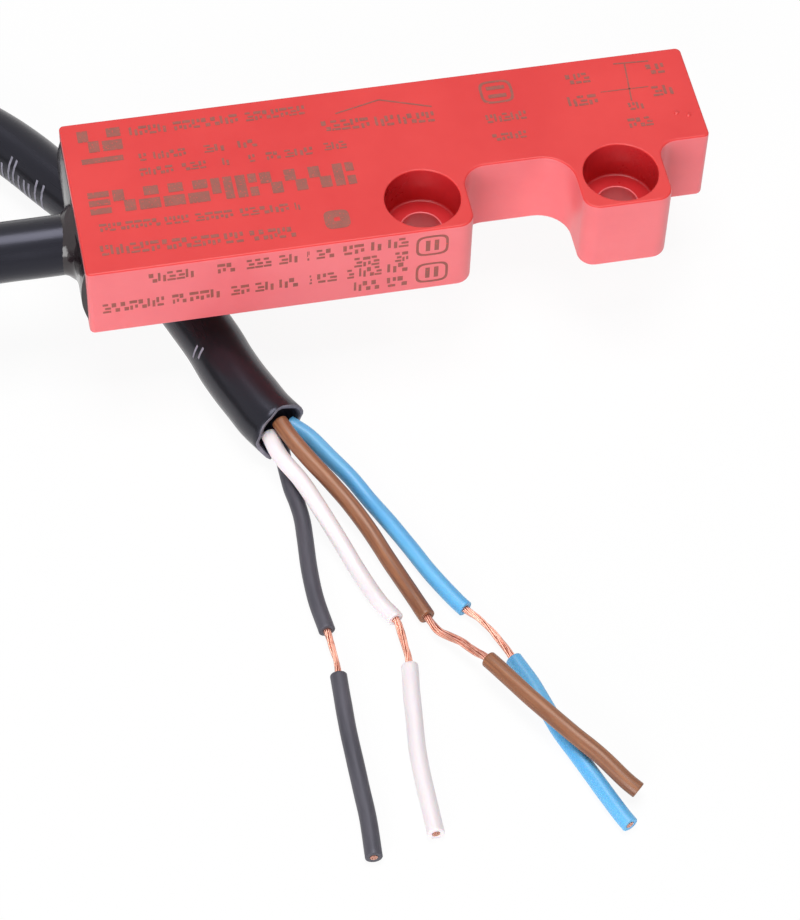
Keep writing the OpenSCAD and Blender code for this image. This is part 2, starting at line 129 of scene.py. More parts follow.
@dataclass(frozen=True)
class Finish:
    """A surface finish that varies slowly in tone and has a fine relief.

    Attributes:
        name: What the real material is and how its surface was made.
        light: Lighter tone, sRGB hex.
        dark: Darker tone, sRGB hex.
        patch: Size in mm of the slow changes of tone.
        roughness: Lowest and highest roughness.
        grain: Size in mm of the fine relief.
        relief: Height in mm of the fine relief.
        ior: Refractive index.
        metallic: 1 for a metal.
        stretch: Pace of the patterns along X, Y and Z; less than 1 draws them out.
        coat: Weight of a clear coat.
        subsurface: Weight of light scattered below the surface.
        scatter: Depth in mm of that scattering.
        transmission: Weight of light let through.
        extruded: True places the patterns round and along a tube.
        gloss_tint: Tint of its reflections, sRGB hex.
        dust: Weight of the pale haze that fine dust gives at shallow angles.
    """

    name: str
    light: str
    dark: str
    patch: float = 6.0
    roughness: tuple[float, float] = (0.35, 0.5)
    grain: float = 0.15
    relief: float = 0.004
    ior: float = 1.5
    metallic: float = 0.0
    stretch: Point = (1.0, 1.0, 1.0)
    coat: float = 0.0
    subsurface: float = 0.0
    scatter: float = 0.5
    transmission: float = 0.0
    extruded: bool = False
    gloss_tint: str = "#FFFFFF"
    dust: float = 0.0

    def material(self) -> bpy.types.Material:
        """Build the finish's material on first use.

        Returns:
            The material.
        """
        made = bpy.data.materials.get(self.name)
        if made:
            return made
        made = bpy.data.materials.new(self.name)
        made.use_nodes = True
        tree = made.node_tree
        shader = tree.nodes["Principled BSDF"]
        place = add_node(tree, "ShaderNodeTexCoord").outputs["Object"]
        if self.extruded:
            place = add_node(tree, "ShaderNodeAttribute", attribute_name=TUBE_PLACE).outputs["Vector"]
        drawn = add_node(tree, "ShaderNodeMapping", {"Vector": place, "Scale": self.stretch}).outputs[0]
        slow = add_node(tree, "ShaderNodeTexNoise", {
            "Vector": drawn, "Scale": 1 / (self.patch * MM), **SLOW_NOISE}).outputs[0]
        fine = add_node(tree, "ShaderNodeTexNoise", {
            "Vector": drawn, "Scale": 1 / (self.grain * MM), **FINE_NOISE}).outputs[0]
        self.colour(tree, shader, place, slow, fine)
        rough = add_node(tree, "ShaderNodeMapRange", {
            0: slow, 1: NOISE_SPAN[0], 2: NOISE_SPAN[1],
            3: self.roughness[0], 4: self.roughness[1]}).outputs[0]
        tree.links.new(rough, shader.inputs["Roughness"])
        bump = add_node(tree, "ShaderNodeBump", {
            "Height": fine, "Distance": self.relief * MM, "Strength": 1.0}).outputs[0]
        tree.links.new(bump, shader.inputs["Normal"])
        shader.inputs["Metallic"].default_value = self.metallic
        if not self.metallic:
            shader.inputs["IOR"].default_value = self.ior
            shader.inputs["Specular Tint"].default_value = linear(self.gloss_tint)
        shader.inputs["Coat Weight"].default_value = self.coat
        shader.inputs["Sheen Weight"].default_value = self.dust
        shader.inputs["Subsurface Weight"].default_value = self.subsurface
        shader.inputs["Subsurface Scale"].default_value = self.scatter * MM
        shader.inputs["Transmission Weight"].default_value = self.transmission
        return made

    def tone(self, tree: bpy.types.NodeTree, slow: bpy.types.NodeSocket) -> bpy.types.NodeSocket:
        """Let the finish change slowly between its two tones.

        Args:
            tree: The material's tree.
            slow: Noise of the slow changes.

        Returns:
            The colour.
        """
        stops = tuple(zip(NOISE_SPAN, (linear(self.dark), linear(self.light))))
        return add_node(tree, "ShaderNodeValToRGB", {0: slow}, stops).outputs[0]

    def colour(self, tree: bpy.types.NodeTree, shader: bpy.types.Node, place: bpy.types.NodeSocket,
               slow: bpy.types.NodeSocket, fine: bpy.types.NodeSocket) -> None:
        """Link the colour: two tones that change slowly over the surface.

        Args:
            tree: The material's tree.
            shader: Its principled shader.
            place: Position on the object.
            slow: Noise of the slow changes.
            fine: Noise of the fine grain.
        """
        tree.links.new(self.tone(tree, slow), shader.inputs["Base Color"])


@dataclass(frozen=True)
class WornInk(Finish):
    """Pad-printed ink on a red moulding, with tiny gaps where it did not take.

    Attributes:
        ground: The moulding's tone in the gaps, sRGB hex.
        gap_span: Levels of the fine noise at which a gap is fully open and just closed.
    """

    ground: str = "#DF3F3D"
    gap_span: tuple[float, float] = (0.3, 0.42)

    def colour(self, tree: bpy.types.NodeTree, shader: bpy.types.Node, place: bpy.types.NodeSocket,
               slow: bpy.types.NodeSocket, fine: bpy.types.NodeSocket) -> None:
        """Link the colour: ink with specks of the ground showing through.

        Args:
            tree: The material's tree.
            shader: Its principled shader.
            place: Position on the object.
            slow: Noise of the slow changes.
            fine: Noise of the fine grain.
        """
        stops = tuple(zip(self.gap_span, (grey(1.0), grey(0.0))))
        gaps = add_node(tree, "ShaderNodeValToRGB", {0: fine}, stops).outputs[0]
        mixed = add_node(tree, "ShaderNodeMix", {
            "Factor": gaps, 6: self.tone(tree, slow), 7: linear(self.ground)}, data_type="RGBA").outputs[2]
        tree.links.new(mixed, shader.inputs["Base Color"])


# Grains too fine to show, such as those of moulding, ink, copper and plating, are drawn coarser than real
# Moulded thermoplastic: saturated red, a soft sheen and a fine spark-eroded grain
RED_MOULDING = Finish("red_thermoplastic_moulded", "#E43F3D", "#DC3636", patch=9, roughness=(0.36, 0.46),
                      grain=0.12, relief=0.003, ior=1.48, subsurface=0.12, scatter=0.5)
# Its side walls are painted a paler red than the top, painted light for the stronger light that falls on
# them, and are slightly glossier
RED_WALL_PAINTED_LIGHT = Finish("red_thermoplastic_walls_painted_lighter", "#F67B80", "#EF7077", patch=7, roughness=(0.3, 0.4),
                  grain=0.2, relief=0.003, ior=1.48, subsurface=0.12, scatter=0.5)
# Its counterbores are painted a deeper red, painted shade for the shade inside them, and are glossier
RED_BORE_PAINTED_SHADE = Finish("red_thermoplastic_bores_painted_darker", "#DC3238", "#CA282E", patch=5, roughness=(0.26, 0.34),
                  grain=0.25, relief=0.003, ior=1.48, subsurface=0.08, scatter=0.4)
# Pad-print ink: matt, brownish grey on red, slightly uneven
PRINT_INK = WornInk("grey_pad_print_ink", "#A1594E", "#8E4F45", patch=1.2, roughness=(0.5, 0.6),
                    grain=0.16, relief=0.002)
# Cast epoxy resin: nearly black, glossy, with a faintly wavy set surface
POTTING = Finish("dark_epoxy_cast", "#2C2226", "#1A1416", patch=3, roughness=(0.1, 0.2), grain=0.9,
                 relief=0.03, ior=1.56)
# Extruded cable sheath: black with a slightly bluish satin shine and faint draw lines
SHEATH = Finish("black_sheath_extruded", "#14141A", "#0C0C12", patch=3, roughness=(0.22, 0.3), grain=0.3,
                relief=0.006, ior=1.45, stretch=(1.0, 1.0, 0.12), extruded=True,
                gloss_tint="#DCDCF4", dust=0.16)
# Its cut edge is paler and duller than its skin, and its bore is dusty with talc
SHEATH_CUT = Finish("black_sheath_cut_edge", "#8C8894", "#5E5B66", patch=0.9, roughness=(0.5, 0.65),
                    grain=0.2, relief=0.02)
SHEATH_INSIDE = Finish("black_sheath_bore_talced", "#4A4756", "#2E2C36", patch=1.2, roughness=(0.5, 0.7),
                       grain=0.2, relief=0.02)
# Ink-jet print on the sheath: pale lilac grey, dull
SHEATH_INK = Finish("pale_ink_on_sheath", "#A9A7B8", "#84828F", patch=0.7, roughness=(0.45, 0.6), grain=0.1,
                    relief=0.002)
# Extruded insulation: smooth, with faint streaks along the core; all but the black is bright and lets a
# little light in, and the black is a dull bluish grey in the light
WHITE_INSULATION = Finish("white_insulation_extruded", "#F9F2F5", "#EDE4E8", patch=1.2,
                          roughness=(0.34, 0.46), grain=0.5, relief=0.006, subsurface=0.2, scatter=0.3,
                          stretch=(1.0, 1.0, 0.1), extruded=True)
BROWN_INSULATION = Finish("brown_insulation_extruded", "#A8714F", "#683B29", patch=0.45,
                          roughness=(0.32, 0.44), grain=0.3, relief=0.008, subsurface=0.08, scatter=0.2,
                          stretch=(1.0, 1.0, 0.06), extruded=True)
BLUE_INSULATION = Finish("blue_insulation_extruded", "#74C1EE", "#58ABE4", patch=0.7,
                         roughness=(0.32, 0.44), grain=0.4, relief=0.006, subsurface=0.12, scatter=0.3,
                         stretch=(1.0, 1.0, 0.08), extruded=True)
BLACK_INSULATION = Finish("black_insulation_extruded", "#56545C", "#403F46", patch=0.8,
                          roughness=(0.4, 0.55), grain=0.4, relief=0.008, stretch=(1.0, 1.0, 0.15),
                          extruded=True, gloss_tint="#E6E6F6")
# Bare annealed copper: drawn wire, warm and bright with thin dull patches
COPPER = Finish("bare_copper_drawn", "#EFBCAA", "#D69682", patch=0.8, roughness=(0.36, 0.5),
                grain=0.06, relief=0.002, metallic=1.0)
# Glass-epoxy laminate under a green solder mask, with the cloth's weave just telling
LAMINATE = Finish("glass_epoxy_laminate_masked", "#2C7446", "#1F5A35", patch=2.0, roughness=(0.3, 0.45),
                  grain=0.4, relief=0.01, coat=0.3)
# Drawn sealing glass: clear and smooth, with a faint green cast
REED_GLASS = Finish("reed_glass_drawn", "#DDF0E8", "#CBE6DC", patch=3, roughness=(0.02, 0.06), grain=1.2,
                    relief=0.004, ior=1.5, transmission=0.9)
# Nickel-iron wire of the reeds, tinned: bright grey with duller patches
REED_WIRE = Finish("nickel_iron_wire_tinned", "#C4C6CA", "#A4A7AD", patch=0.9, roughness=(0.24, 0.4),
                   grain=0.08, relief=0.002, metallic=1.0)
# Rolled and plated contact blades: pale gold and bright, with faint streaks along them
BLADE_PLATING = Finish("blade_rolled_and_plated", "#DCC98A", "#BFA968", patch=0.7, roughness=(0.18, 0.32),
                       grain=0.06, relief=0.0015, metallic=1.0, stretch=(0.3, 1.0, 1.0))
# Reflowed tin solder: bright and rounded, with soft dull patches
SOLDER = Finish("tin_solder_reflowed", "#C9CBD0", "#A9ACB3", patch=0.6, roughness=(0.14, 0.34), grain=0.25,
                relief=0.01, metallic=1.0)


@dataclass(frozen=True)
class ChipFinish(Finish):
    """Glazed ceramic between two tinned ends, split by place along X.

    Attributes:
        middle: X of the chip's middle, in mm.
        body: Length of the ceramic, in mm.
        tin: Tone of the tinned ends, sRGB hex.
    """

    middle: float = 1.0
    body: float = 2.2
    tin: str = "#C6C8CC"

    def colour(self, tree: bpy.types.NodeTree, shader: bpy.types.Node, place: bpy.types.NodeSocket,
               slow: bpy.types.NodeSocket, fine: bpy.types.NodeSocket) -> None:
        """Link the colour and the metal: dark glaze in the middle, tin at the ends.

        Args:
            tree: The material's tree.
            shader: Its principled shader.
            place: Position on the object.
            slow: Noise of the slow changes.
            fine: Noise of the fine grain.
        """
        across = add_node(tree, "ShaderNodeSeparateXYZ", {0: place}).outputs[0]
        away = add_node(tree, "ShaderNodeMath", {0: across, 1: self.middle * MM}, operation="SUBTRACT")
        span = add_node(tree, "ShaderNodeMath", {0: away.outputs[0]}, operation="ABSOLUTE").outputs[0]
        ends = add_node(tree, "ShaderNodeMath", {0: span, 1: self.body / 2 * MM},
                        operation="GREATER_THAN").outputs[0]
        mixed = add_node(tree, "ShaderNodeMix", {
            "Factor": ends, 6: self.tone(tree, slow), 7: linear(self.tin)}, data_type="RGBA").outputs[2]
        tree.links.new(mixed, shader.inputs["Base Color"])
        tree.links.new(ends, shader.inputs["Metallic"])


# Chip resistor: dark, glossy glaze between two bright tinned ends
CHIP = ChipFinish("chip_resistor_glazed", "#2A2B31", "#1A1B20", patch=0.8, roughness=(0.2, 0.35), grain=0.1,
                  relief=0.002)


class ShellSlot(IntEnum):
    """Material slots of the housing's shell."""

    MOULDED = 0
    WALL = 1
    BORE = 2


class SheathSlot(IntEnum):
    """Material slots of the cable's sheath."""

    SKIN = 0
    CUT = 1
    INSIDE = 2


class CoreColour(Enum):
    """The four cores of the lead, by the colour of their insulation."""

    WHITE = "white"
    BROWN = "brown"
    BLUE = "blue"
    BLACK = "black"

    @property
    def finish(self) -> Finish:
        """Find the insulation's finish.

        Returns:
            The finish of that colour.
        """
        return {
            CoreColour.WHITE: WHITE_INSULATION, CoreColour.BROWN: BROWN_INSULATION,
            CoreColour.BLUE: BLUE_INSULATION, CoreColour.BLACK: BLACK_INSULATION,
        }[self]


def new_piece(name: str, skin: Rings, finishes: list[Finish], sharp: float = 40.0) -> bpy.types.Object:
    """Make a mesh object from a skin in millimetres.

    Args:
        name: The piece's name.
        skin: Its points and faces, in the row frame.
        finishes: Finish of each material slot.
        sharp: Edges bent by more degrees than this stay sharp.

    Returns:
        The new object, linked to the scene and riding on the switch.
    """
    mesh = bpy.data.meshes.new(name)
    mesh.from_pydata([p * MM for p in skin.points], [], skin.faces)
    if skin.radius:
        place = mesh.attributes.new(TUBE_PLACE, "FLOAT_VECTOR", "POINT")
        place.data.foreach_set("vector", [c * MM for spot in skin.places for c in spot])
    for finish in finishes:
        mesh.materials.append(finish.material())
    mesh.polygons.foreach_set("material_index", skin.slots)
    mesh.shade_smooth()
    mesh.set_sharp_from_angle(angle=math.radians(sharp))
    piece = bpy.data.objects.new(name, mesh)
    bpy.context.scene.collection.objects.link(piece)
    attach(piece, BODY)
    return piece


def smooth_route(route: list[Point], steps: int) -> list[Vector]:
    """Run a smooth curve through the points of a route.

    Args:
        route: The points, in mm.
        steps: Number of pieces that each stretch is cut into.

    Returns:
        Points along the curve, the first and last of the route among them.
    """
    pts = [Vector(p) for p in route]
    ends = [pts[0] * 2 - pts[1], *pts, pts[-1] * 2 - pts[-2]]
    out: list[Vector] = []
    for a, b, c, d in zip(ends, ends[1:], ends[2:], ends[3:]):
        for k in range(steps):
            t = k / steps
            out.append(0.5 * ((2 * b) + (c - a) * t + (2 * a - 5 * b + 4 * c - d) * t * t
                              + (3 * b - a - 3 * c + d) * t * t * t))
    out.append(pts[-1])
    return out


def carried_frames(path: list[Vector]) -> list[Frame]:
    """Carry a pair of side directions along a path without twist.

    Args:
        path: Points of the path.

    Returns:
        Heading, side and upper direction at each point.
    """
    out: list[Frame] = []
    side = Vector((0, 0, 1)).cross(path[1] - path[0]).normalized()
    for i in range(len(path)):
        ahead = (path[min(i + 1, len(path) - 1)] - path[max(i - 1, 0)]).normalized()
        side = (side - ahead * side.dot(ahead)).normalized()
        out.append((ahead, side, ahead.cross(side)))
    return out


def distances(path: list[Vector]) -> list[float]:
    """Measure along a path.

    Args:
        path: Points of the path.

    Returns:
        Distance of each point from the start.
    """
    run = [0.0]
    for a, b in zip(path, path[1:]):
        run.append(run[-1] + (b - a).length)
    return run


def quarter_turn(steps: int) -> list[float]:
    """Return the angles that cut a quarter turn into equal steps, both ends included."""
    return [math.radians(90 / steps * k) for k in range(steps + 1)]


def around(frame: Frame, angle: float) -> Vector:
    """Return the direction at an angle round a path, from its side direction."""
    return math.cos(angle) * frame[1] + math.sin(angle) * frame[2]


@dataclass
class Rings:
    """Stack of closed rings of points that grows into one skin.

    Attributes:
        radius: Radius of the tube whose finish follows its length, or 0 for other shapes.
        points: Points of the skin, in mm.
        places: Place of each point round and along the tube.
        faces: Point numbers of each face.
        slots: Material slot of each face.
        last: Point numbers of the ring added last.
    """

    radius: float = 0.0
    points: list[Vector] = field(default_factory=list)
    places: list[Vector] = field(default_factory=list)
    faces: list[tuple[int, ...]] = field(default_factory=list)
    slots: list[int] = field(default_factory=list)
    last: list[int] = field(default_factory=list)

    def add(self, ring: list[Vector], slot: int = 0, joined: bool = True, run: float = 0.0) -> list[int]:
        """Add a ring and join it to the one before.

        Args:
            ring: The ring's points.
            slot: Material slot of the new faces.
            joined: False starts a new skin.
            run: Distance along the tube.

        Returns:
            The numbers of the ring's points.
        """
        first = len(self.points)
        self.points.extend(ring)
        now = list(range(first, first + len(ring)))
        for k in range(len(ring)):
            a = math.tau * k / len(ring)
            self.places.append(Vector((self.radius * math.cos(a), self.radius * math.sin(a), run)))
        if joined and self.last:
            count = len(now)
            for k in range(count):
                n = (k + 1) % count
                self.faces.append((self.last[k], self.last[n], now[n], now[k]))
                self.slots.append(slot)
        self.last = now
        return now

    def cap(self, ring: list[int], flip: bool = False, slot: int = 0) -> None:
        """Close a ring with a fan around its middle.

        Args:
            ring: Point numbers of the ring.
            flip: True turns the faces over.
            slot: Material slot of the new faces.
        """
        middle = sum((self.points[i] for i in ring), Vector()) / len(ring)
        self.points.append(middle)
        self.places.append(Vector((0.0, 0.0, self.places[ring[0]].z)))
        centre = len(self.points) - 1
        for k in range(len(ring)):
            a, b = ring[k], ring[(k + 1) % len(ring)]
            self.faces.append((b, a, centre) if flip else (a, b, centre))
            self.slots.append(slot)

    def patch(self, corners: list[Vector]) -> None:
        """Add a loose flat face in the first material slot.

        Args:
            corners: Its corners in order.
        """
        first = len(self.points)
        self.points.extend(corners)
        self.places.extend(Vector() for _ in corners)
        self.faces.append(tuple(range(first, first + len(corners))))
        self.slots.append(0)

    def fill(self, outer: list[int], holes: list[list[int]], slot: int = 0, flip: bool = False) -> None:
        """Fill a flat outline that has holes, leaving out faces with no area.

        Args:
            outer: Point numbers of the outline.
            holes: Point numbers of each hole.
            slot: Material slot of the new faces.
            flip: True turns the faces over.
        """
        loops = [outer, *holes]
        flat = [i for loop in loops for i in loop]
        for a, b, c in tessellate_polygon([[self.points[i] for i in loop] for loop in loops]):
            face = (flat[a], flat[b], flat[c])
            normal = (self.points[face[1]] - self.points[face[0]]).cross(
                self.points[face[2]] - self.points[face[0]])
            if normal.length < NO_AREA:
                continue
            self.faces.append(face[::-1] if flip else face)
            self.slots.append(slot)


@dataclass
class Housing:
    """The red moulded shell with its counterbored lugs and open cable end. Sizes in mm.

    Attributes:
        length: Length from the cable end to the far end.
        width: Width over the lugs.
        height: Height from the mounting face to the marked face.
        wall: Wall that frames the opening at the cable end.
        holes: Foot of each fixing hole.
        hole_d: Diameter of the holes.
        counterbore_d: Diameter of the counterbores.
        counterbore_depth: Their depth from the marked face.
        lug_w: Width of each lug along the housing.
        recess_y: Y of the recess between the lugs and of the step at the far end.
        corner_radii: Radius of each corner seen from above, in the order of corners().
        top_round: Radius of the marked face's edge.
        foot_round: Radius of the mounting face's edge.
        hole_round: Radius of the counterbores' upper edge.
        floor_round: Radius at the foot of the counterbores' wall.
        throat_round: Radius of the holes' edge in the counterbores' floor.
        foot_chamfer: Chamfer of the holes in the mounting face.
        opening_round: Radius of the opening's corners.
        lip_rings: Depth of each ring at the opening's edge and how much wider than the opening it is.
        loop: Distance from a rounded edge of the ring that keeps the flat beside it flat.
        support: The same where the flat is filled.
        cavity_depth: How deep the lining of the opening goes.
        mould_marks: Place of each mark that the mould's vents leave.
        mark_rings: Radius and rise of each ring of such a mark.
    """

    length: float = 51.0
    width: float = 16.0
    height: float = 7.0
    wall: float = 0.9
    holes: tuple[Point, Point] = ((1.5, -4.6, 0.0), (17.5, -4.6, 0.0))
    hole_d: float = 3.2
    counterbore_d: float = 6.0
    counterbore_depth: float = 3.5
    lug_w: float = 7.2
    recess_y: float = -2.0
    corner_radii: tuple[float, ...] = (0.4, 1.3, 2.0, 2.6, 1.3, 1.3, 1.6, 0.5, 0.5, 0.4)
    top_round: float = 0.18
    foot_round: float = 0.3
    hole_round: float = 0.1
    floor_round: float = 0.2
    throat_round: float = 0.1
    foot_chamfer: float = 0.2
    opening_round: float = 0.12
    lip_rings: tuple[tuple[float, float], ...] = ((0.0, 0.1), (0.03, 0.04), (0.1, 0.0), (0.15, 0.0))
    loop: float = 0.05
    support: float = 0.02
    cavity_depth: float = 3.0
    mould_marks: tuple[tuple[float, float], ...] = ((23.45, 0.9), (24.35, 0.5))
    mark_rings: tuple[tuple[float, float], ...] = ((0.22, -0.02), (0.2, 0.03), (0.14, 0.06), (0.07, 0.075))

    def corners(self) -> list[tuple[float, float, float]]:
        """List the corners anticlockwise from the front of the cable end.

        Returns:
            X, Y and radius of each corner.
        """
        x0, x1 = -self.length / 2, self.length / 2
        y0, y1 = -self.width / 2, self.width / 2
        near = self.holes[0][0] + self.lug_w / 2
        far0 = self.holes[1][0] - self.lug_w / 2
        far1 = self.holes[1][0] + self.lug_w / 2
        places = (
            (x0, y0), (near, y0), (near, self.recess_y), (far0, self.recess_y), (far0, y0), (far1, y0),
            (far1, self.recess_y), (x1, self.recess_y), (x1, y1), (x0, y1),
        )
        return [(x, y, r) for (x, y), r in zip(places, self.corner_radii)]

    def outline(self, inset: float, z: float, steps: int = 10) -> list[Vector]:
        """Return the outline drawn in by an inset, at height z.

        Args:
            inset: Distance that the outline is drawn in.
            z: Height of the ring.
            steps: Pieces in each corner's arc.

        Returns:
            The ring's points, the same number at every inset.
        """
        corners = self.corners()
        out: list[Vector] = []
        for i, (x, y, r) in enumerate(corners):
            back = Vector((x, y)) - Vector(corners[i - 1][:2])
            ahead = Vector(corners[(i + 1) % len(corners)][:2]) - Vector((x, y))
            d1, d2 = back.normalized(), ahead.normalized()
            inward = Vector((-d1.y, d1.x)) + Vector((-d2.y, d2.x))
            turn = 1 if d1.x * d2.y - d1.y * d2.x > 0 else -1
            radius = max(r - turn * inset, LEAST_RADIUS)
            centre = Vector((x, y)) + inward * inset + inward * radius * turn
            start = math.atan2(-inward.y * turn, -inward.x * turn) - turn * math.pi / 4
            for k in range(steps + 1):
                a = start + turn * (math.pi / 2) * k / steps
                out.append(Vector((centre.x + radius * math.cos(a), centre.y + radius * math.sin(a), z)))
        return out

    @staticmethod
    def circle(x: float, y: float, r: float, z: float, count: int = 72) -> list[Vector]:
        """Return a flat ring of points."""
        return [Vector((x + r * math.cos(math.tau * k / count), y + r * math.sin(math.tau * k / count), z))
                for k in range(count)]

    def skirt(self) -> list[tuple[float, float]]:
        """List the rings of the outer wall from the foot to the marked face.

        Returns:
            Inset and height of each ring.
        """
        foot, top, h, loop = self.foot_round, self.top_round, self.height, self.loop
        arc = quarter_turn(6)
        levels = [(foot + loop, 0.0)]
        levels += [(foot * (1 - math.sin(a)), foot * (1 - math.cos(a))) for a in arc]
        levels += [(0.0, foot + loop), (0.0, h - top - loop)]
        levels += [(top * (1 - math.cos(a)), h - top * (1 - math.sin(a))) for a in arc]
        return [*levels, (top + self.support, h)]

    def bore(self, skin: Rings, x: float, y: float) -> tuple[list[int], list[int]]:
        """Add the wall of one counterbored hole.

        Args:
            skin: The housing's skin.
            x: The hole's place along the housing.
            y: Its place across the housing.

        Returns:
            Its top ring and its bottom ring.
        """
        r, hr, h = self.counterbore_d / 2, self.hole_d / 2, self.height
        lip, floor = self.hole_round, self.height - self.counterbore_depth
        foot, throat, chamfer = self.floor_round, self.throat_round, self.foot_chamfer
        arc = quarter_turn(4)
        profile = [(r + lip + self.support, h)]
        profile += [(r + lip * (1 - math.sin(a)), h - lip * (1 - math.cos(a))) for a in arc]
        profile += [(r, h - lip - self.loop), (r, floor + foot + 2 * self.loop)]
        profile += [(r, floor + foot + self.support)]
        profile += [(r - foot * (1 - math.cos(a)), floor + foot * (1 - math.sin(a))) for a in arc]
        profile += [(r - foot - self.loop, floor), (hr + throat + 2 * self.loop, floor)]
        profile += [(hr + throat + self.support, floor)]
        profile += [(hr + throat * (1 - math.sin(a)), floor - throat * (1 - math.cos(a))) for a in arc]
        profile += [(hr, floor - throat - self.loop), (hr, chamfer + 2 * self.loop), (hr, chamfer)]
        profile += [(hr + chamfer, 0.0), (hr + chamfer + self.loop, 0.0)]
        top = skin.add(self.circle(x, y, *profile[0]), joined=False)
        for r_now, z_now in profile[1:]:
            slot = ShellSlot.MOULDED
            # The through holes' walls take the paler red as well, painted light for the glow seen down them
            if z_now < floor:
                slot = ShellSlot.WALL
            # The counterbores' walls take the deeper red of painted shade
            elif z_now < h - lip:
                slot = ShellSlot.BORE
            skin.add(self.circle(x, y, r_now, z_now), slot=slot)
        return top, skin.last

    def end_frame(self, skin: Rings, gap: list[int]) -> None:
        """Close the cable end around its opening and line the opening.

        Args:
            skin: The housing's skin.
            gap: Point numbers of the rectangle left open at the cable end.
        """
        x0 = -self.length / 2
        y = self.width / 2 - self.wall
        z0, z1, r = self.wall, self.height - self.wall, self.opening_round
        rings = []
        for depth, grow in (*self.lip_rings, (self.cavity_depth, 0.0)):
            ring = []
            for cy, cz, sy, sz, turned in ((y, z1, 1, 1, 0), (-y, z1, -1, 1, 90), (-y, z0, -1, -1, 180),
                                           (y, z0, 1, -1, 270)):
                for step in quarter_turn(4):
                    a = math.radians(turned) + step
                    ring.append(Vector((x0 + depth, cy - sy * r + (r + grow) * math.cos(a),
                                        cz - sz * r + (r + grow) * math.sin(a))))
            rings.append(ring)
        mouth = skin.add(rings[0], joined=False)
        # The opening's lining and the frame round it take the paler red of painted light
        for ring in rings[1:]:
            skin.add(ring, slot=ShellSlot.WALL)
        skin.cap(skin.last)
        skin.fill(gap, [mouth], slot=ShellSlot.WALL)

    def build(self) -> list[bpy.types.Object]:
        """Build the shell and let it stand for the housing.

        Returns:
            The shell.
        """
        skin = Rings()
        levels = self.skirt()
        # The round of the upper edge belongs to the marked face from this height on
        shoulder = self.height - self.top_round / 3
        rings = []
        for inset, z in levels:
            # Side walls take the paler red of painted light; the marked face and the foot keep the moulding's
            # red
            slot = ShellSlot.WALL if 0.0 < z < shoulder else ShellSlot.MOULDED
            rings.append(skin.add(self.outline(inset, z), slot=slot))
        # At the cable end the face between the two straight rings gives way to the opening's frame
        straight = [n for n, (inset, z) in enumerate(levels) if inset == 0.0 and z > self.foot_round]
        low, high = rings[straight[0]], rings[straight[1]]
        gap = [low[-1], low[0], high[0], high[-1]]
        opened = skin.faces.index(tuple(gap))
        del skin.faces[opened], skin.slots[opened]
        bores = [self.bore(skin, x, y) for x, y, _ in self.holes]
        skin.fill(rings[-1], [top for top, _ in bores])
        skin.fill(rings[0], [foot for _, foot in bores], flip=True)
        self.end_frame(skin, gap)
        for x, y in self.mould_marks:
            self.mould_mark(skin, x, y)
        shell = new_piece("housing_shell", skin, [RED_MOULDING, RED_WALL_PAINTED_LIGHT, RED_BORE_PAINTED_SHADE], sharp=50)
        self.face_outwards(shell)
        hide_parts("housing")
        return [shell]

    def mould_mark(self, skin: Rings, x: float, y: float) -> None:
        """Add the low round dome that a mould's vent leaves.

        Args:
            skin: The housing's skin.
            x: The mark's place along the housing.
            y: Its place across the housing.
        """
        for n, (r, rise) in enumerate(self.mark_rings):
            skin.add(self.circle(x, y, r, self.height + rise, count=20), joined=n > 0)
        skin.cap(skin.last)

    @staticmethod
    def face_outwards(piece: bpy.types.Object) -> None:
        """Turn all of a closed piece's faces outwards.

        Args:
            piece: The piece.
        """
        work = bmesh.new()
        work.from_mesh(piece.data)
        bmesh.ops.recalc_face_normals(work, faces=work.faces)
        work.to_mesh(piece.data)
        work.free()


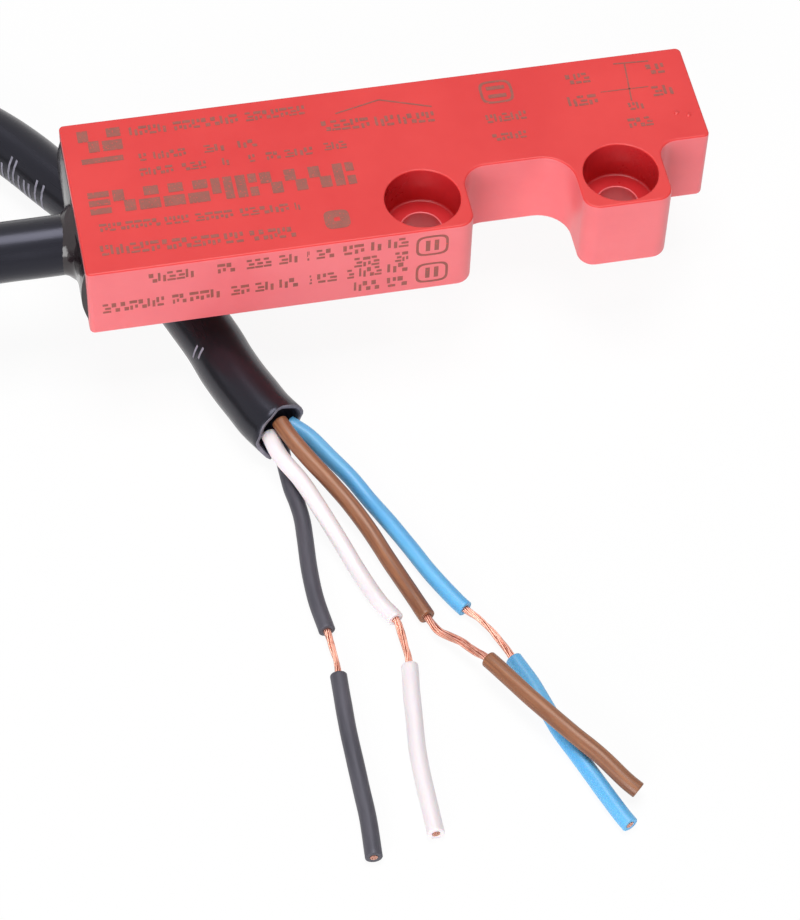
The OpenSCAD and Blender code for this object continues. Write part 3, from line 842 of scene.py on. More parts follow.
@dataclass
class FlyingLead:
    """The sheathed cable: out of the resin, round the coil and back to its cut end. Sizes in mm.

    Attributes:
        diameter: Outer diameter of the sheath.
        sheath_wall: Its wall.
        sides: Number of points in each ring of the sheath.
        uneven: Depth of the sheath's slight unevenness and how fast it changes with each mm.
        length: Declared length of the cable; not used.
        exit: Where the cable's axis leaves the resin.
        floor: Height of the surface that it lies on.
        coil_at: Middle of the coil in X and Y, from the exit.
        coil_mean_d: Diameter of the coil's middle turns.
        coil_start: Angle at which the coil begins, in degrees.
        sweep: Angle that the coil turns through, in degrees.
        coil_step: Angle between the coil's points, in degrees.
        shifts: Angles from either end at which the cable moves over by a turn, in degrees.
        shift_wide: Angle that such a move takes, in degrees.
        exit_route: Points from the exit in X and Y, each with its share of the way to the coil's top turns.
        return_route: Points from the exit in X and Y, on the surface.
        ragged: Height, number round the mouth and phase of the waves in the cut edge.
        tongue: Reach of the tongue left by the cut, its angle in degrees and how narrow it is.
        stroke_w: Width of a printed stroke, along the cable.
        stroke_slant: How far a stroke leans along the cable between its ends.
        stroke_rise: How far a stroke lies clear of the sheath.
        end_strokes: Distance from the cut end of each stroke near it, and its lower and upper angle.
        line_start: Distance of the first line of print from the cut end.
        line_pitch: Distance from one line of print to the next.
        line_count: Number of lines.
        line_strokes: Number of strokes in a line.
        stroke_gaps: Least and greatest distance from stroke to stroke.
        tall_feet: Lower angles of the tall strokes.
        tall_heads: Upper angles of the tall strokes.
        short_stroke: Lower and upper angle of the short strokes.
    """

    diameter: float = 4.8
    sheath_wall: float = 0.45
    sides: int = 32
    uneven: tuple[float, float] = (0.02, 0.3)
    length: float = 1000.0
    exit: Point = (-25.5, -1.4, 3.5)
    floor: float = -6.9
    coil_at: tuple[float, float] = (-51.3, -9.1)
    coil_mean_d: float = 49.0
    coil_start: float = -10.0
    sweep: float = 2051.4
    coil_step: float = 15.0
    shifts: tuple[float, float] = (310.0, 670.0)
    shift_wide: float = 100.0
    exit_route: tuple[Point, ...] = (
        (4.5, 0, 0), (0, 0, 0), (-3.2, 0, 0), (-6.3, 0, 0), (-9.2, -0.2, 0.02), (-12, -1, 0.08),
        (-14.6, -2.2, 0.2), (-16.9, -3.9, 0.35), (-18.9, -5.9, 0.52), (-20.6, -8.3, 0.7),
        (-21.8, -10.9, 0.87), (-22.5, -13.6, 1))
    return_route: tuple[tuple[float, float], ...] = (
        (-55.7, 19.9), (-47, 21.2), (-38.4, 23), (-30, 24.9), (-22.1, 26.3), (-15.6, 26.2),
        (-9.7, 23.9), (-6.2, 21.4), (-4.2, 19.4), (-2.4, 17.1), (-0.7, 14.6), (2.2, 10.4),
        (4.9, 6), (7.3, 1.3), (9.1, -3.4), (9.9, -5.7), (10.5, -7.9), (11.2, -9.9),
        (11.9, -11.6), (12.6, -13.3), (13.5, -14.9))
    ragged: tuple[Triple, Triple] = ((0.1, 3, 0.7), (0.07, 7, 2.1))
    tongue: Triple = (0.95, 212.0, 10)
    stroke_w: float = 0.22
    stroke_slant: float = 0.3
    stroke_rise: float = 0.03
    end_strokes: tuple[Triple, Triple] = ((8.5, 118, 140), (9.1, 126, 152))
    line_start: float = 31.3
    line_pitch: float = 104.0
    line_count: int = 9
    line_strokes: int = 18
    stroke_gaps: tuple[float, float] = (0.5, 0.85)
    tall_feet: tuple[int, int] = (122, 128)
    tall_heads: tuple[int, int, int] = (176, 186, 190)
    short_stroke: tuple[int, int] = (146, 188)

    @property
    def lie(self) -> float:
        """Return the height of the cable's axis where it lies on the surface."""
        return self.floor + self.diameter / 2

    def coil(self) -> list[Point]:
        """Wind the coil: inwards by two turns on top, then outwards again below.

        Returns:
            Points of the cable's axis.
        """
        count = round(self.sweep / self.coil_step)
        moves = [(at, 1) for at in self.shifts]
        moves += [(self.sweep - at, -1) for at in reversed(self.shifts)]
        outer = self.coil_mean_d / 2 + self.diameter
        out: list[Point] = []
        for k in range(1, count):
            s = self.sweep * k / count
            column = sum(sign * self.ease((s - at) / self.shift_wide + 0.5) for at, sign in moves)
            drop = self.ease((s - self.sweep / 2) / self.shift_wide + 0.5)
            r = outer - column * self.diameter
            a = math.radians(self.coil_start - s)
            out.append((self.exit[0] + self.coil_at[0] + r * math.cos(a),
                        self.exit[1] + self.coil_at[1] + r * math.sin(a),
                        self.lie + self.diameter * (1 - drop)))
        return out

    @staticmethod
    def ease(t: float) -> float:
        """Return a smooth step from 0 to 1."""
        t = min(max(t, 0.0), 1.0)
        return t * t * t * (t * (6 * t - 15) + 10)

    def route(self) -> tuple[list[Point], list[Point], list[Point]]:
        """Lay the cable out.

        Returns:
            Points of the exit run, the coil and the return run.
        """
        x, y, z = self.exit
        top = self.lie + self.diameter
        out = [(x + a, y + b, z + share * (top - z)) for a, b, share in self.exit_route]
        back = [(x + a, y + b, self.lie) for a, b in self.return_route]
        return out, self.coil(), back

    def path(self) -> list[Vector]:
        """Return the whole axis of the cable as one smooth path."""
        out, coil, back = self.route()
        return smooth_route([*out, *coil, *back], steps=4)

    def mouth_reach(self, angle: float) -> float:
        """Work out how far the cut edge stands out at an angle round the mouth.

        Args:
            angle: The angle, in radians.

        Returns:
            The distance along the cable.
        """
        waves = sum(height * math.sin(count * angle + phase) for height, count, phase in self.ragged)
        reach, middle, narrow = self.tongue
        return waves + reach * max(0.0, math.cos(angle - math.radians(middle))) ** narrow

    def skin_radius(self, spot: Vector) -> float:
        """Return the sheath's slightly uneven radius at a place."""
        return self.diameter / 2 + self.uneven[0] * noise.noise(spot * self.uneven[1])

    def build(self) -> list[bpy.types.Object]:
        """Returns:
            The sheath and its print.
        """
        path = self.path()
        frames = carried_frames(path)
        run = distances(path)
        outer, inner = self.diameter / 2, self.diameter / 2 - self.sheath_wall
        angles = [math.tau * k / self.sides for k in range(self.sides)]
        skin = Rings(radius=outer)
        for i, point in enumerate(path):
            last = i == len(path) - 1
            ring = []
            for a in angles:
                out = around(frames[i], a)
                ring.append(point + self.skin_radius(point + outer * out) * out
                            + frames[i][0] * (self.mouth_reach(a) if last else 0.0))
            now = skin.add(ring, slot=SheathSlot.SKIN, joined=i > 0, run=run[i])
            if i == 0:
                skin.cap(now, flip=True, slot=SheathSlot.SKIN)
        # Rings of the mouth: radius, distance back from the cut, share of its raggedness and slot
        mouth = (
            (outer - 0.04, -0.03, 1.0, SheathSlot.CUT), (inner + 0.14, -0.02, 1.0, SheathSlot.CUT),
            (inner, 0.1, 0.95, SheathSlot.INSIDE), (inner, 0.9, 0.2, SheathSlot.INSIDE),
            (inner, 3.5, 0.0, SheathSlot.INSIDE),
        )
        for r, back, rough, slot in mouth:
            ring = [path[-1] + r * around(frames[-1], a)
                    + frames[-1][0] * (rough * self.mouth_reach(a) - back) for a in angles]
            skin.add(ring, slot=slot, run=run[-1] - back)
        skin.cap(skin.last, slot=SheathSlot.INSIDE)
        sheath = new_piece("cable_sheath", skin, [SHEATH, SHEATH_CUT, SHEATH_INSIDE], sharp=55)
        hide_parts("cable_exit_run", "cable_coil", "cable_return_run")
        strokes = self.print_strokes(path, frames, run)
        return [sheath, strokes]

    def print_strokes(self, path: list[Vector], frames: list[Frame], run: list[float]) -> bpy.types.Object:
        """Build the pale slanted strokes that stand for the print along the sheath.

        Args:
            path: The cable's axis, in mm.
            frames: Directions at each of its points.
            run: Distance of each point from the start.

        Returns:
            The strokes as one piece.
        """
        skin = Rings()
        draw = random.Random(11)
        marks = list(self.end_strokes)
        for line in range(self.line_count):
            place = self.line_start + self.line_pitch * line
            for _ in range(self.line_strokes):
                low = draw.choice((*self.tall_feet, self.short_stroke[0]))
                high = draw.choice(self.tall_heads) if low in self.tall_feet else self.short_stroke[1]
                marks.append((place, low, high))
                place += draw.uniform(*self.stroke_gaps)
        bends = 4
        for place, low, high in marks:
            rows = []
            for step in range(bends + 1):
                a = math.radians(low + (high - low) * step / bends)
                middle = run[-1] - place + self.stroke_slant * (step / bends - 0.5)
                row = []
                for along in (middle - self.stroke_w / 2, middle + self.stroke_w / 2):
                    i = min(bisect_right(run, along), len(run) - 1)
                    share = (along - run[i - 1]) / (run[i] - run[i - 1])
                    point = path[i - 1].lerp(path[i], share)
                    out = around(frames[i - 1], a).lerp(around(frames[i], a), share).normalized()
                    radius = self.skin_radius(point + self.diameter / 2 * out) + self.stroke_rise
                    row.append(point + radius * out)
                rows.append(row)
            for one, two in zip(rows, rows[1:]):
                skin.patch([one[0], one[1], two[1], two[0]])
        strokes = new_piece("cable_print", skin, [SHEATH_INK])
        return strokes


@dataclass
class Core:
    """One core beyond the cut sheath: insulation, a bare stretch of strands and the slug left on its end.

    Sizes in mm. Routes start at the cable's exit, with the height above a core that lies on the surface.

    Attributes:
        colour: Colour of the insulation.
        insulated: Route of the insulated length.
        bare: Route of the bare stretch.
        slug: Route of the slug.
        twist: Angle at which the strands start, in radians, which also shifts the core's noise.
        fray: How far the strands part in the bare stretch.
        insulation_d: Diameter of the insulation.
        conductor_d: Diameter of the bundle of strands.
        strand_d: Diameter of a strand.
        strand_count: Number of strands.
        inner_count: Number of them in the middle of the bundle.
        lay_length: Length in which the strands go round once.
        tighten: Share by which the bundle narrows in the bare stretch.
        stray: How far the strands stray there, as a share of their orbit and in radians.
        stray_noise: Shift of the straying from strand to strand and how fast it changes with each mm.
        uneven: Depth of the insulation's slight unevenness and how fast it changes with each mm.
    """

    colour: CoreColour
    insulated: tuple[Point, ...]
    bare: tuple[Point, ...]
    slug: tuple[Point, ...]
    twist: float = 0.0
    fray: float = 0.0
    insulation_d: float = 1.3
    conductor_d: float = 0.6
    strand_d: float = 0.15
    strand_count: int = 12
    inner_count: int = 3
    lay_length: float = 10.0
    tighten: float = 0.35
    stray: tuple[float, float] = (0.4, 1.2)
    stray_noise: tuple[float, float] = (7.3, 0.45)
    uneven: tuple[float, float] = (0.012, 0.6)

    def place(self, lead: FlyingLead, route: tuple[Point, ...]) -> list[Point]:
        """Return a route in the row frame."""
        rest = lead.floor + self.insulation_d / 2
        return [(lead.exit[0] + x, lead.exit[1] + y, rest + z) for x, y, z in route]

    def tube(self, name: str, path: list[Vector], node: str) -> bpy.types.Object:
        """Build a length of insulation with cut ends.

        Args:
            name: The piece's name.
            path: Its axis, in mm.
            node: The CAD node that it stands for.

        Returns:
            The piece, riding on the switch.
        """
        frames = carried_frames(path)
        run = distances(path)
        sides, r0, hole = 20, self.insulation_d / 2, self.conductor_d / 2 + 0.02
        # Rings of a cut end: radius and distance from the end
        cut_end = ((hole, 0.25), (hole, 0.03), (r0 - 0.06, 0.0), (r0 - 0.015, 0.02), (r0, 0.06))
        skin = Rings(radius=r0)

        def add_ring(i: int, r: float, back: float, joined: bool = True) -> list[int]:
            """Add one ring of the tube.

            Args:
                i: Number of the point that it lies at.
                r: Its radius.
                back: Distance that it is moved on along the tube.
                joined: False starts the skin.

            Returns:
                The numbers of its points.
            """
            ring = [path[i] + r * around(frames[i], math.tau * k / sides) + frames[i][0] * back
                    for k in range(sides)]
            return skin.add(ring, joined=joined, run=run[i] + back)

        starts = [add_ring(0, r, back, joined=n > 0) for n, (r, back) in enumerate(cut_end)]
        depth, pace = self.uneven
        for i in range(1, len(path) - 1):
            add_ring(i, r0 + depth * noise.noise(path[i] * pace + Vector((self.twist, 0, 0))), 0.0)
        for r, back in reversed(cut_end):
            add_ring(len(path) - 1, r, -back)
        skin.cap(starts[0], flip=True)
        skin.cap(skin.last)
        piece = new_piece(name, skin, [self.colour.finish], sharp=50)
        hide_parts(node)
        return piece

    def strands(self, path: list[Vector], bare: tuple[int, int]) -> bpy.types.Object:
        """Build the twisted strands, which lie closer and stray a little where they are bare.

        Args:
            path: Axis of the whole core, in mm.
            bare: Numbers of the points where the bare stretch begins and ends.

        Returns:
            The strands as one piece.
        """
        frames = carried_frames(path)
        run = distances(path)
        sides, r, inner = 7, self.strand_d / 2, self.inner_count
        # The middle strands touch one another, and the others lie round them
        inner_orbit, outer_orbit = self.strand_d * 0.58, self.conductor_d / 2 - r
        apart, pace = self.stray_noise
        skin = Rings()
        for n in range(self.strand_count):
            orbit = inner_orbit if n < inner else outer_orbit
            start = n / inner if n < inner else (n - inner) / (self.strand_count - inner)
            half = self.fray if n % 2 else -self.fray
            for i, point in enumerate(path):
                share = min(max((i - bare[0]) / (bare[1] - bare[0]), 0.0), 1.0)
                loose = math.sin(math.pi * share)
                stray = loose * noise.noise(Vector((n * apart, run[i] * pace, self.twist)))
                a = math.tau * (start + run[i] / self.lay_length) + self.twist + self.stray[1] * stray
                away = orbit * (1 - self.tighten * loose + self.stray[0] * stray)
                hub = point + away * around(frames[i], a) + half * loose * frames[i][1]
                now = skin.add([hub + r * around(frames[i], math.tau * k / sides) for k in range(sides)],
                               joined=i > 0)
                if i == 0:
                    skin.cap(now, flip=True)
            skin.cap(skin.last)
        strands = new_piece(f"{self.colour.value}_strands", skin, [COPPER], sharp=60)
        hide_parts(f"{self.colour.value}_conductor")
        return strands

    def build(self, lead: FlyingLead) -> list[bpy.types.Object]:
        """Build the core's three pieces in place of its CAD nodes.

        Args:
            lead: The cable that the core comes out of.

        Returns:
            The insulation, the slug and the strands.
        """
        tag = self.colour.value
        whole = [*self.place(lead, self.insulated), *self.place(lead, self.bare)[1:],
                 *self.place(lead, self.slug)[1:]]
        steps = 8
        path = smooth_route(whole, steps)
        first = (len(self.insulated) - 1) * steps
        second = first + (len(self.bare) - 1) * steps
        insulation = self.tube(f"{tag}_insulation", path[:first + 1], f"{tag}_core")
        slug = self.tube(f"{tag}_offcut", path[second:], f"{tag}_slug")
        strands = self.strands(path, (first, second))
        return [insulation, slug, strands]


CORES: tuple[Core, ...] = (
    Core(CoreColour.WHITE,
         ((12.6, -15.3, 1.75), (13.1, -17.5, 1.65), (14.3, -20, 1.45), (15.3, -22.8, 1.2),
          (16.3, -25.6, 0.65), (17.3, -28.6, 0.15), (18.3, -31.4, 0), (19.2, -33.2, 0)),
         ((19.2, -33.2, 0), (19.4, -35.1, 0), (19.4, -37.5, 0)),
         ((19.4, -37.5, 0), (19.1, -39.7, 0), (18.8, -42.3, 0), (18.5, -44.9, 0),
          (18.4, -47.6, 0), (18.4, -50.1, 0), (18.4, -52.2, 0)), twist=0.4, fray=0.06),
    Core(CoreColour.BROWN,
         ((13.5, -14.9, 2.65), (14.2, -16.7, 2.5), (15.3, -18.6, 1.95), (16.5, -20.4, 1.35),
          (17.7, -22.4, 0.75), (18.8, -24.8, 0.25), (19.8, -27.8, 0), (20.8, -30.9, 0), (21.6, -33.4, 0)),
         ((21.6, -33.4, 0), (22.1, -34.8, 0.15), (22.8, -35.7, 0.35), (23.6, -36.6, 0.65),
          (24.4, -37.8, 0.95), (25.1, -38.8, 1.25)),
         ((25.1, -38.8, 1.25), (26.3, -40.9, 1.4), (27.4, -42.8, 1.45), (28.5, -44.5, 1.45),
          (29.9, -46.6, 1.4), (31.4, -48.6, 1.2), (32.8, -50.6, 0.7), (33.6, -51.5, 0.4)),
         twist=1.3, fray=0.13),
    Core(CoreColour.BLUE,
         ((14.3, -14.5, 1.75), (15.7, -15.9, 1.45), (17, -17.7, 0.85), (18.3, -19.6, 0.35), (19.4, -21.8, 0),
          (20.5, -24.2, 0), (21.6, -26.8, 0), (22.6, -29.3, 0), (23.7, -31.6, 0), (24.6, -33.2, 0)),
         ((24.6, -33.2, 0), (25.5, -34.4, 0), (26.2, -35.6, 0), (26.7, -36.8, 0), (27.2, -38.3, 0)),
         ((27.2, -38.3, 0), (28, -40.5, 0), (28.6, -42.8, 0), (29.2, -45.2, 0),
          (30.1, -47.7, 0), (31, -50.3, 0), (31.9, -52.8, 0), (32.4, -54, 0)), twist=2.6, fray=0.05),
    Core(CoreColour.BLACK,
         ((13.4, -14.9, 0.85), (13.5, -17.1, 0.25), (13.6, -19.4, 0), (13.8, -21, 0), (13.9, -22.7, 0),
          (13.8, -24.6, 0), (13.6, -27.5, 0), (13.6, -30.4, 0), (13.9, -33.3, 0)),
         ((13.9, -33.3, 0), (14, -34.9, 0), (14.1, -36.3, 0), (14, -37.4, 0)),
         ((14, -37.4, 0), (13.9, -39.6, 0), (13.8, -42.3, 0), (13.8, -44.9, 0),
          (13.8, -47.6, 0), (13.8, -50.1, 0), (13.6, -53.3, 0)), twist=3.5),
)


@dataclass
class ResinFace:
    """The set surface of the potting at the cable end, which climbs the sheath. Sizes in mm.

    Attributes:
        half_y: Half the width of the opening.
        half_z: Half its height.
        wall_end: X of the housing's cable end.
        axis: Y and Z of the cable's axis.
        cable_r: Radius of the sheath.
        bulge: How far the surface bulges out of the opening.
        climb: How far it climbs the sheath.
        reach: Distance from the sheath over which the climb dies away.
        cover: How far the surface lies clear of the potting below it.
        ripple: Depth of its ripples and how fast they change with each mm.
        under: How far the surface reaches under the sheath.
        back: Depth of the surface's hidden side.
        sides: Number of points round the cable, apart from the four corners.
        steps: Number of rings from the sheath to the opening's edge.
        spread: Power that crowds the rings near the sheath.
    """

    half_y: float = 7.1
    half_z: float = 2.6
    wall_end: float = -25.5
    axis: tuple[float, float] = (-1.4, 3.5)
    cable_r: float = 2.4
    bulge: float = 0.4
    climb: float = 0.95
    reach: float = 0.3
    cover: float = 0.02
    ripple: tuple[float, float] = (0.03, 0.9)
    under: float = 0.1
    back: float = 0.3
    sides: int = 120
    steps: int = 18
    spread: float = 1.6

    def height(self, y: float, z: float) -> float:
        """Work out how far the surface stands out of the wall's end at a place.

        Args:
            y: The place across the housing.
            z: The place above the mounting face.

        Returns:
            The distance, in mm.
        """
        away = math.hypot(y - self.axis[0], z - self.axis[1])
        drop = min(abs(z - self.axis[1]) / self.half_z, 1.0)
        depth, pace = self.ripple
        ripple = depth * noise.noise(Vector((y * pace, z * pace, 4.0)))
        return (self.bulge * (1 - drop * drop) + self.climb * math.exp(-(away - self.cable_r) / self.reach)
                + self.cover + max(ripple, 0.0))

    def edge(self, angle: float) -> float:
        """Measure from the cable's axis to the edge of the opening.

        Args:
            angle: The direction, in radians.

        Returns:
            The distance, in mm.
        """
        c, s = math.cos(angle), math.sin(angle)
        reach_y = (self.half_y - math.copysign(self.axis[0], self.axis[0] * c)) / max(abs(c), 1e-9)
        return min(reach_y, self.half_z / max(abs(s), 1e-9))

    def build(self) -> list[bpy.types.Object]:
        """Build the surface as a closed skin over the potting's end.

        Returns:
            The surface.
        """
        turns = {math.tau * k / self.sides for k in range(self.sides)}
        for sy in (-1, 1):
            for sz in (-1, 1):
                turns.add(math.atan2(sz * self.half_z, sy * self.half_y - self.axis[0]) % math.tau)
        angles = sorted(turns, reverse=True)
        inner = self.cable_r - self.under
        skin = Rings()

        def add_ring(reach: list[float], x: float | None) -> None:
            """Add one ring round the cable's axis.

            Args:
                reach: Distance of each point from the axis.
                x: Place of the ring along the housing, or None for a ring on the surface.
            """
            ring = []
            for a, away in zip(angles, reach):
                y, z = self.axis[0] + away * math.cos(a), self.axis[1] + away * math.sin(a)
                ring.append(Vector((self.wall_end - self.height(y, z) if x is None else x, y, z)))
            skin.add(ring, joined=bool(skin.points))

        back = self.wall_end + self.back
        add_ring([inner] * len(angles), back)
        for k in range(self.steps + 1):
            share = (k / self.steps) ** self.spread
            add_ring([inner + (self.edge(a) - inner) * share for a in angles], None)
        # Rings behind the opening's edge: distance past the edge and depth
        for past, depth in ((0.05, -0.02), (0.08, 0.02), (0.05, self.back)):
            add_ring([self.edge(a) + past for a in angles], self.wall_end + depth)
        add_ring([inner] * len(angles), back)
        face = new_piece("resin_face", skin, [POTTING], sharp=50)
        Housing.face_outwards(face)
        return [face]


class Face(Enum):
    """The two printed faces of the housing."""

    MARKED = "marked"
    FRONT = "front"

    def spot(self, a: float, b: float) -> Vector:
        """Find a place on the face, just clear of it.

        Args:
            a: The place along the housing.
            b: The place across the marked face or up the front one.

        Returns:
            The point, in mm.
        """
        if self is Face.MARKED:
            return Vector((a, b, Housing.height + INK_RISE))
        return Vector((a, -Housing.width / 2 - INK_RISE, b))


# Shapes of the blocks that stand for print: left, foot, right and head as shares of a block's cell
BLOCKS: tuple[tuple[Box, ...], ...] = (
    ((0.0, 0.0, 0.9, 0.2), (0.25, 0.36, 0.9, 0.58), (0.0, 0.78, 0.6, 1.0)),
    ((0.0, 0.1, 0.26, 1.0), (0.55, 0.0, 0.85, 0.7)),
    ((0.0, 0.55, 0.5, 1.0), (0.4, 0.0, 0.9, 0.38)),
    ((0.05, 0.0, 0.35, 0.45), (0.0, 0.7, 0.85, 1.0), (0.6, 0.15, 0.9, 0.5)),
    ((0.1, 0.0, 0.8, 0.24), (0.0, 0.42, 0.3, 1.0), (0.55, 0.6, 0.85, 1.0)),
)

# The same for bold print
BOLD_BLOCKS: tuple[tuple[Box, ...], ...] = (
    ((0.0, 0.0, 0.86, 0.26), (0.0, 0.37, 0.86, 0.63), (0.0, 0.74, 0.86, 1.0)),
    ((0.0, 0.0, 0.4, 1.0), (0.52, 0.6, 0.86, 1.0), (0.52, 0.0, 0.86, 0.4)),
    ((0.0, 0.5, 0.46, 1.0), (0.4, 0.0, 0.86, 0.5)),
    ((0.0, 0.0, 0.86, 0.46), (0.26, 0.6, 0.86, 1.0)),
    ((0.0, 0.3, 0.36, 1.0), (0.5, 0.0, 0.86, 1.0)),
)


@dataclass(frozen=True)
class PrintRow:
    """A row of small blocks that stands for a line of print.

    Attributes:
        foot: Height of the row's foot at X = 0 and its rise per mm, on its face.
        height: Height of its blocks in mm.
        words: Start and end of each group in mm.
        pitch: Width in mm of a block's cell.
        blocks: Shapes to draw from.
    """

    foot: tuple[float, float]
    height: float
    words: tuple[tuple[float, float], ...]
    pitch: float = 0.72
    blocks: tuple[tuple[Box, ...], ...] = BLOCKS


@dataclass
class Print:
    """Print on one face, as blocks, bars and rings of ink. Sizes in mm.

    Attributes:
        name: The piece's name.
        face: The face that carries it.
        rows: Its rows of blocks.
        bars: Ends and width of its straight strokes.
        frames: Centre, half width, half height and stroke of its hollow shapes.
    """

    name: str
    face: Face
    rows: tuple[PrintRow, ...]
    bars: tuple[tuple[float, float, float, float, float], ...] = ()
    frames: tuple[tuple[float, float, float, float, float], ...] = ()

    def bar(self, skin: Rings, ends: Box, width: float) -> None:
        """Add one straight stroke.

        Args:
            skin: The print's skin.
            ends: Place of one end, then of the other.
            width: Its width.
        """
        a, b = Vector(ends[:2]), Vector(ends[2:])
        off = (b - a).normalized().orthogonal() * width / 2
        skin.patch([self.face.spot(*p) for p in (a - off, b - off, b + off, a + off)])

    def hollow(self, skin: Rings, x: float, y: float, w: float, h: float, stroke: float) -> None:
        """Add a hollow shape with bulging sides.

        Args:
            skin: The print's skin.
            x: Its middle along the face.
            y: Its middle up the face.
            w: Half its width.
            h: Half its height.
            stroke: Width of its line.
        """
        count, bulge = 32, 0.5
        rings = []
        for cut in (0.0, stroke):
            ring = []
            for k in range(count):
                a = math.tau * k / count
                c, s = math.cos(a), math.sin(a)
                ring.append((x + (w - cut) * math.copysign(abs(c) ** bulge, c),
                             y + (h - cut) * math.copysign(abs(s) ** bulge, s)))
            rings.append(ring)
        for k in range(count):
            n = (k + 1) % count
            skin.patch([self.face.spot(*p) for p in (rings[0][k], rings[0][n], rings[1][n], rings[1][k])])

    def build(self) -> list[bpy.types.Object]:
        """Build the print as one thin layer of ink.

        Returns:
            The layer.
        """
        skin = Rings()
        draw = random.Random(self.name)
        for row in self.rows:
            for start, end in row.words:
                count = max(round((end - start) / row.pitch), 1)
                wide = (end - start) / count
                for n in range(count):
                    left = start + wide * n
                    foot = row.foot[0] + row.foot[1] * left
                    for x0, y0, x1, y1 in draw.choice(row.blocks):
                        corners = ((x0, y0), (x1, y0), (x1, y1), (x0, y1))
                        skin.patch([self.face.spot(left + wide * x, foot + row.height * y)
                                    for x, y in corners])
        for *ends, width in self.bars:
            self.bar(skin, tuple(ends), width)
        for shape in self.frames:
            self.hollow(skin, *shape)
        layer = new_piece(self.name, skin, [PRINT_INK])
        return [layer]


PRINTS: tuple[Print, ...] = (
    Print("marked_face_print", Face.MARKED, (
        PrintRow((5.9, 0.0), 0.95, ((-20.05, -17.0), (-16.5, -11.25), (-10.7, -5.8))),
        PrintRow((3.1, 0.0), 0.8, ((-19.7, -19.0), (-18.55, -15.9), (-14.5, -12.8), (-11.8, -10.2))),
        PrintRow((1.5, 0.0), 0.8, ((-19.85, -17.15), (-16.5, -14.5), (-13.3, -12.7), (-11.2, -10.6),
                                   (-9.8, -8.6), (-8.3, -5.95))),
        PrintRow((-2.25, -0.014), 2.35, ((-24.25, -2.95),), pitch=1.94, blocks=BOLD_BLOCKS),
        PrintRow((4.65, 0.0), 2.4, ((-24.2, -20.5),), pitch=1.85, blocks=BOLD_BLOCKS),
        PrintRow((-4.35, -0.026), 0.8, ((-23.8, -19.0), (-18.7, -16.75), (-16.3, -13.3), (-12.8, -8.9),
                                        (-8.5, -8.05))),
        PrintRow((-7.2, -0.042), 1.05, ((-24.05, -19.4), (-19.25, -14.7), (-14.45, -12.85), (-12.45, -8.85))),
        PrintRow((3.5, -0.05), 1.1, ((-4.9, -1.0), (-0.6, 1.05), (1.25, 4.3))),
        PrintRow((1.7, 0.0), 0.8, ((-5.1, -3.25),)),
        PrintRow((2.35, 0.0), 0.9, ((8.2, 11.6),)),
        PrintRow((0.35, 0.0), 0.75, ((8.3, 11.15),)),
        PrintRow((5.4, 0.0), 1.1, ((15.5, 17.5), (22.2, 23.8))),
        PrintRow((2.95, 0.0), 1.1, ((15.1, 17.6), (22.1, 23.9))),
        PrintRow((1.8, 0.0), 0.8, ((19.8, 21.1),)),
        PrintRow((-0.1, 0.0), 1.0, ((19.35, 21.4),)),
    ), bars=(
        (-3.55, 5.5, 0.15, 6.4, 0.14), (0.15, 6.4, 4.2, 4.95, 0.14), (19.7, 7.05, 22.6, 6.9, 0.14),
        (17.95, 4.15, 21.9, 4.1, 0.1), (20.6, 6.9, 20.2, 2.8, 0.12), (-24.2, 3.75, -20.9, 3.75, 0.55),
        (8.9, 5.2, 10.4, 5.2, 0.4), (8.9, 6.1, 10.4, 6.1, 0.4),
    ), frames=((9.65, 5.65, 1.35, 1.25, 0.22), (-5.5, -5.6, 1.0, 0.95, 0.75))),
    Print("front_face_print", Face.FRONT, (
        PrintRow((5.5, 0.014), 1.05, ((-20.7, -17.1), (-15.35, -13.9), (-13.05, -11.05), (-10.5, -8.95),
                                      (-8.3, -8.1), (-7.55, -6.1), (-5.45, -3.7), (-3.25, -2.3),
                                      (-1.9, -0.2))),
        PrintRow((2.6, 0.01), 1.05, ((-24.4, -19.5), (-18.95, -17.8), (-17.6, -15.1), (-14.3, -12.8),
                                     (-12.4, -10.85), (-10.5, -8.95), (-8.1, -7.9), (-7.5, -5.85),
                                     (-5.1, -4.5), (-4.15, -2.3), (-1.9, -0.2))),
        PrintRow((3.8, 0.0), 1.1, ((-4.55, -2.5), (-1.3, -0.2))),
        PrintRow((0.9, 0.0), 1.1, ((-4.55, -2.45), (-1.9, -0.2))),
    ), bars=(
        (1.3, 4.6, 1.3, 5.8, 0.35), (2.0, 4.6, 2.0, 5.8, 0.35),
        (1.35, 1.4, 1.35, 2.6, 0.35), (2.05, 1.4, 2.05, 2.6, 0.35),
    ), frames=((1.65, 5.2, 1.3, 1.15, 0.2), (1.7, 2.0, 1.3, 1.15, 0.2))),
)


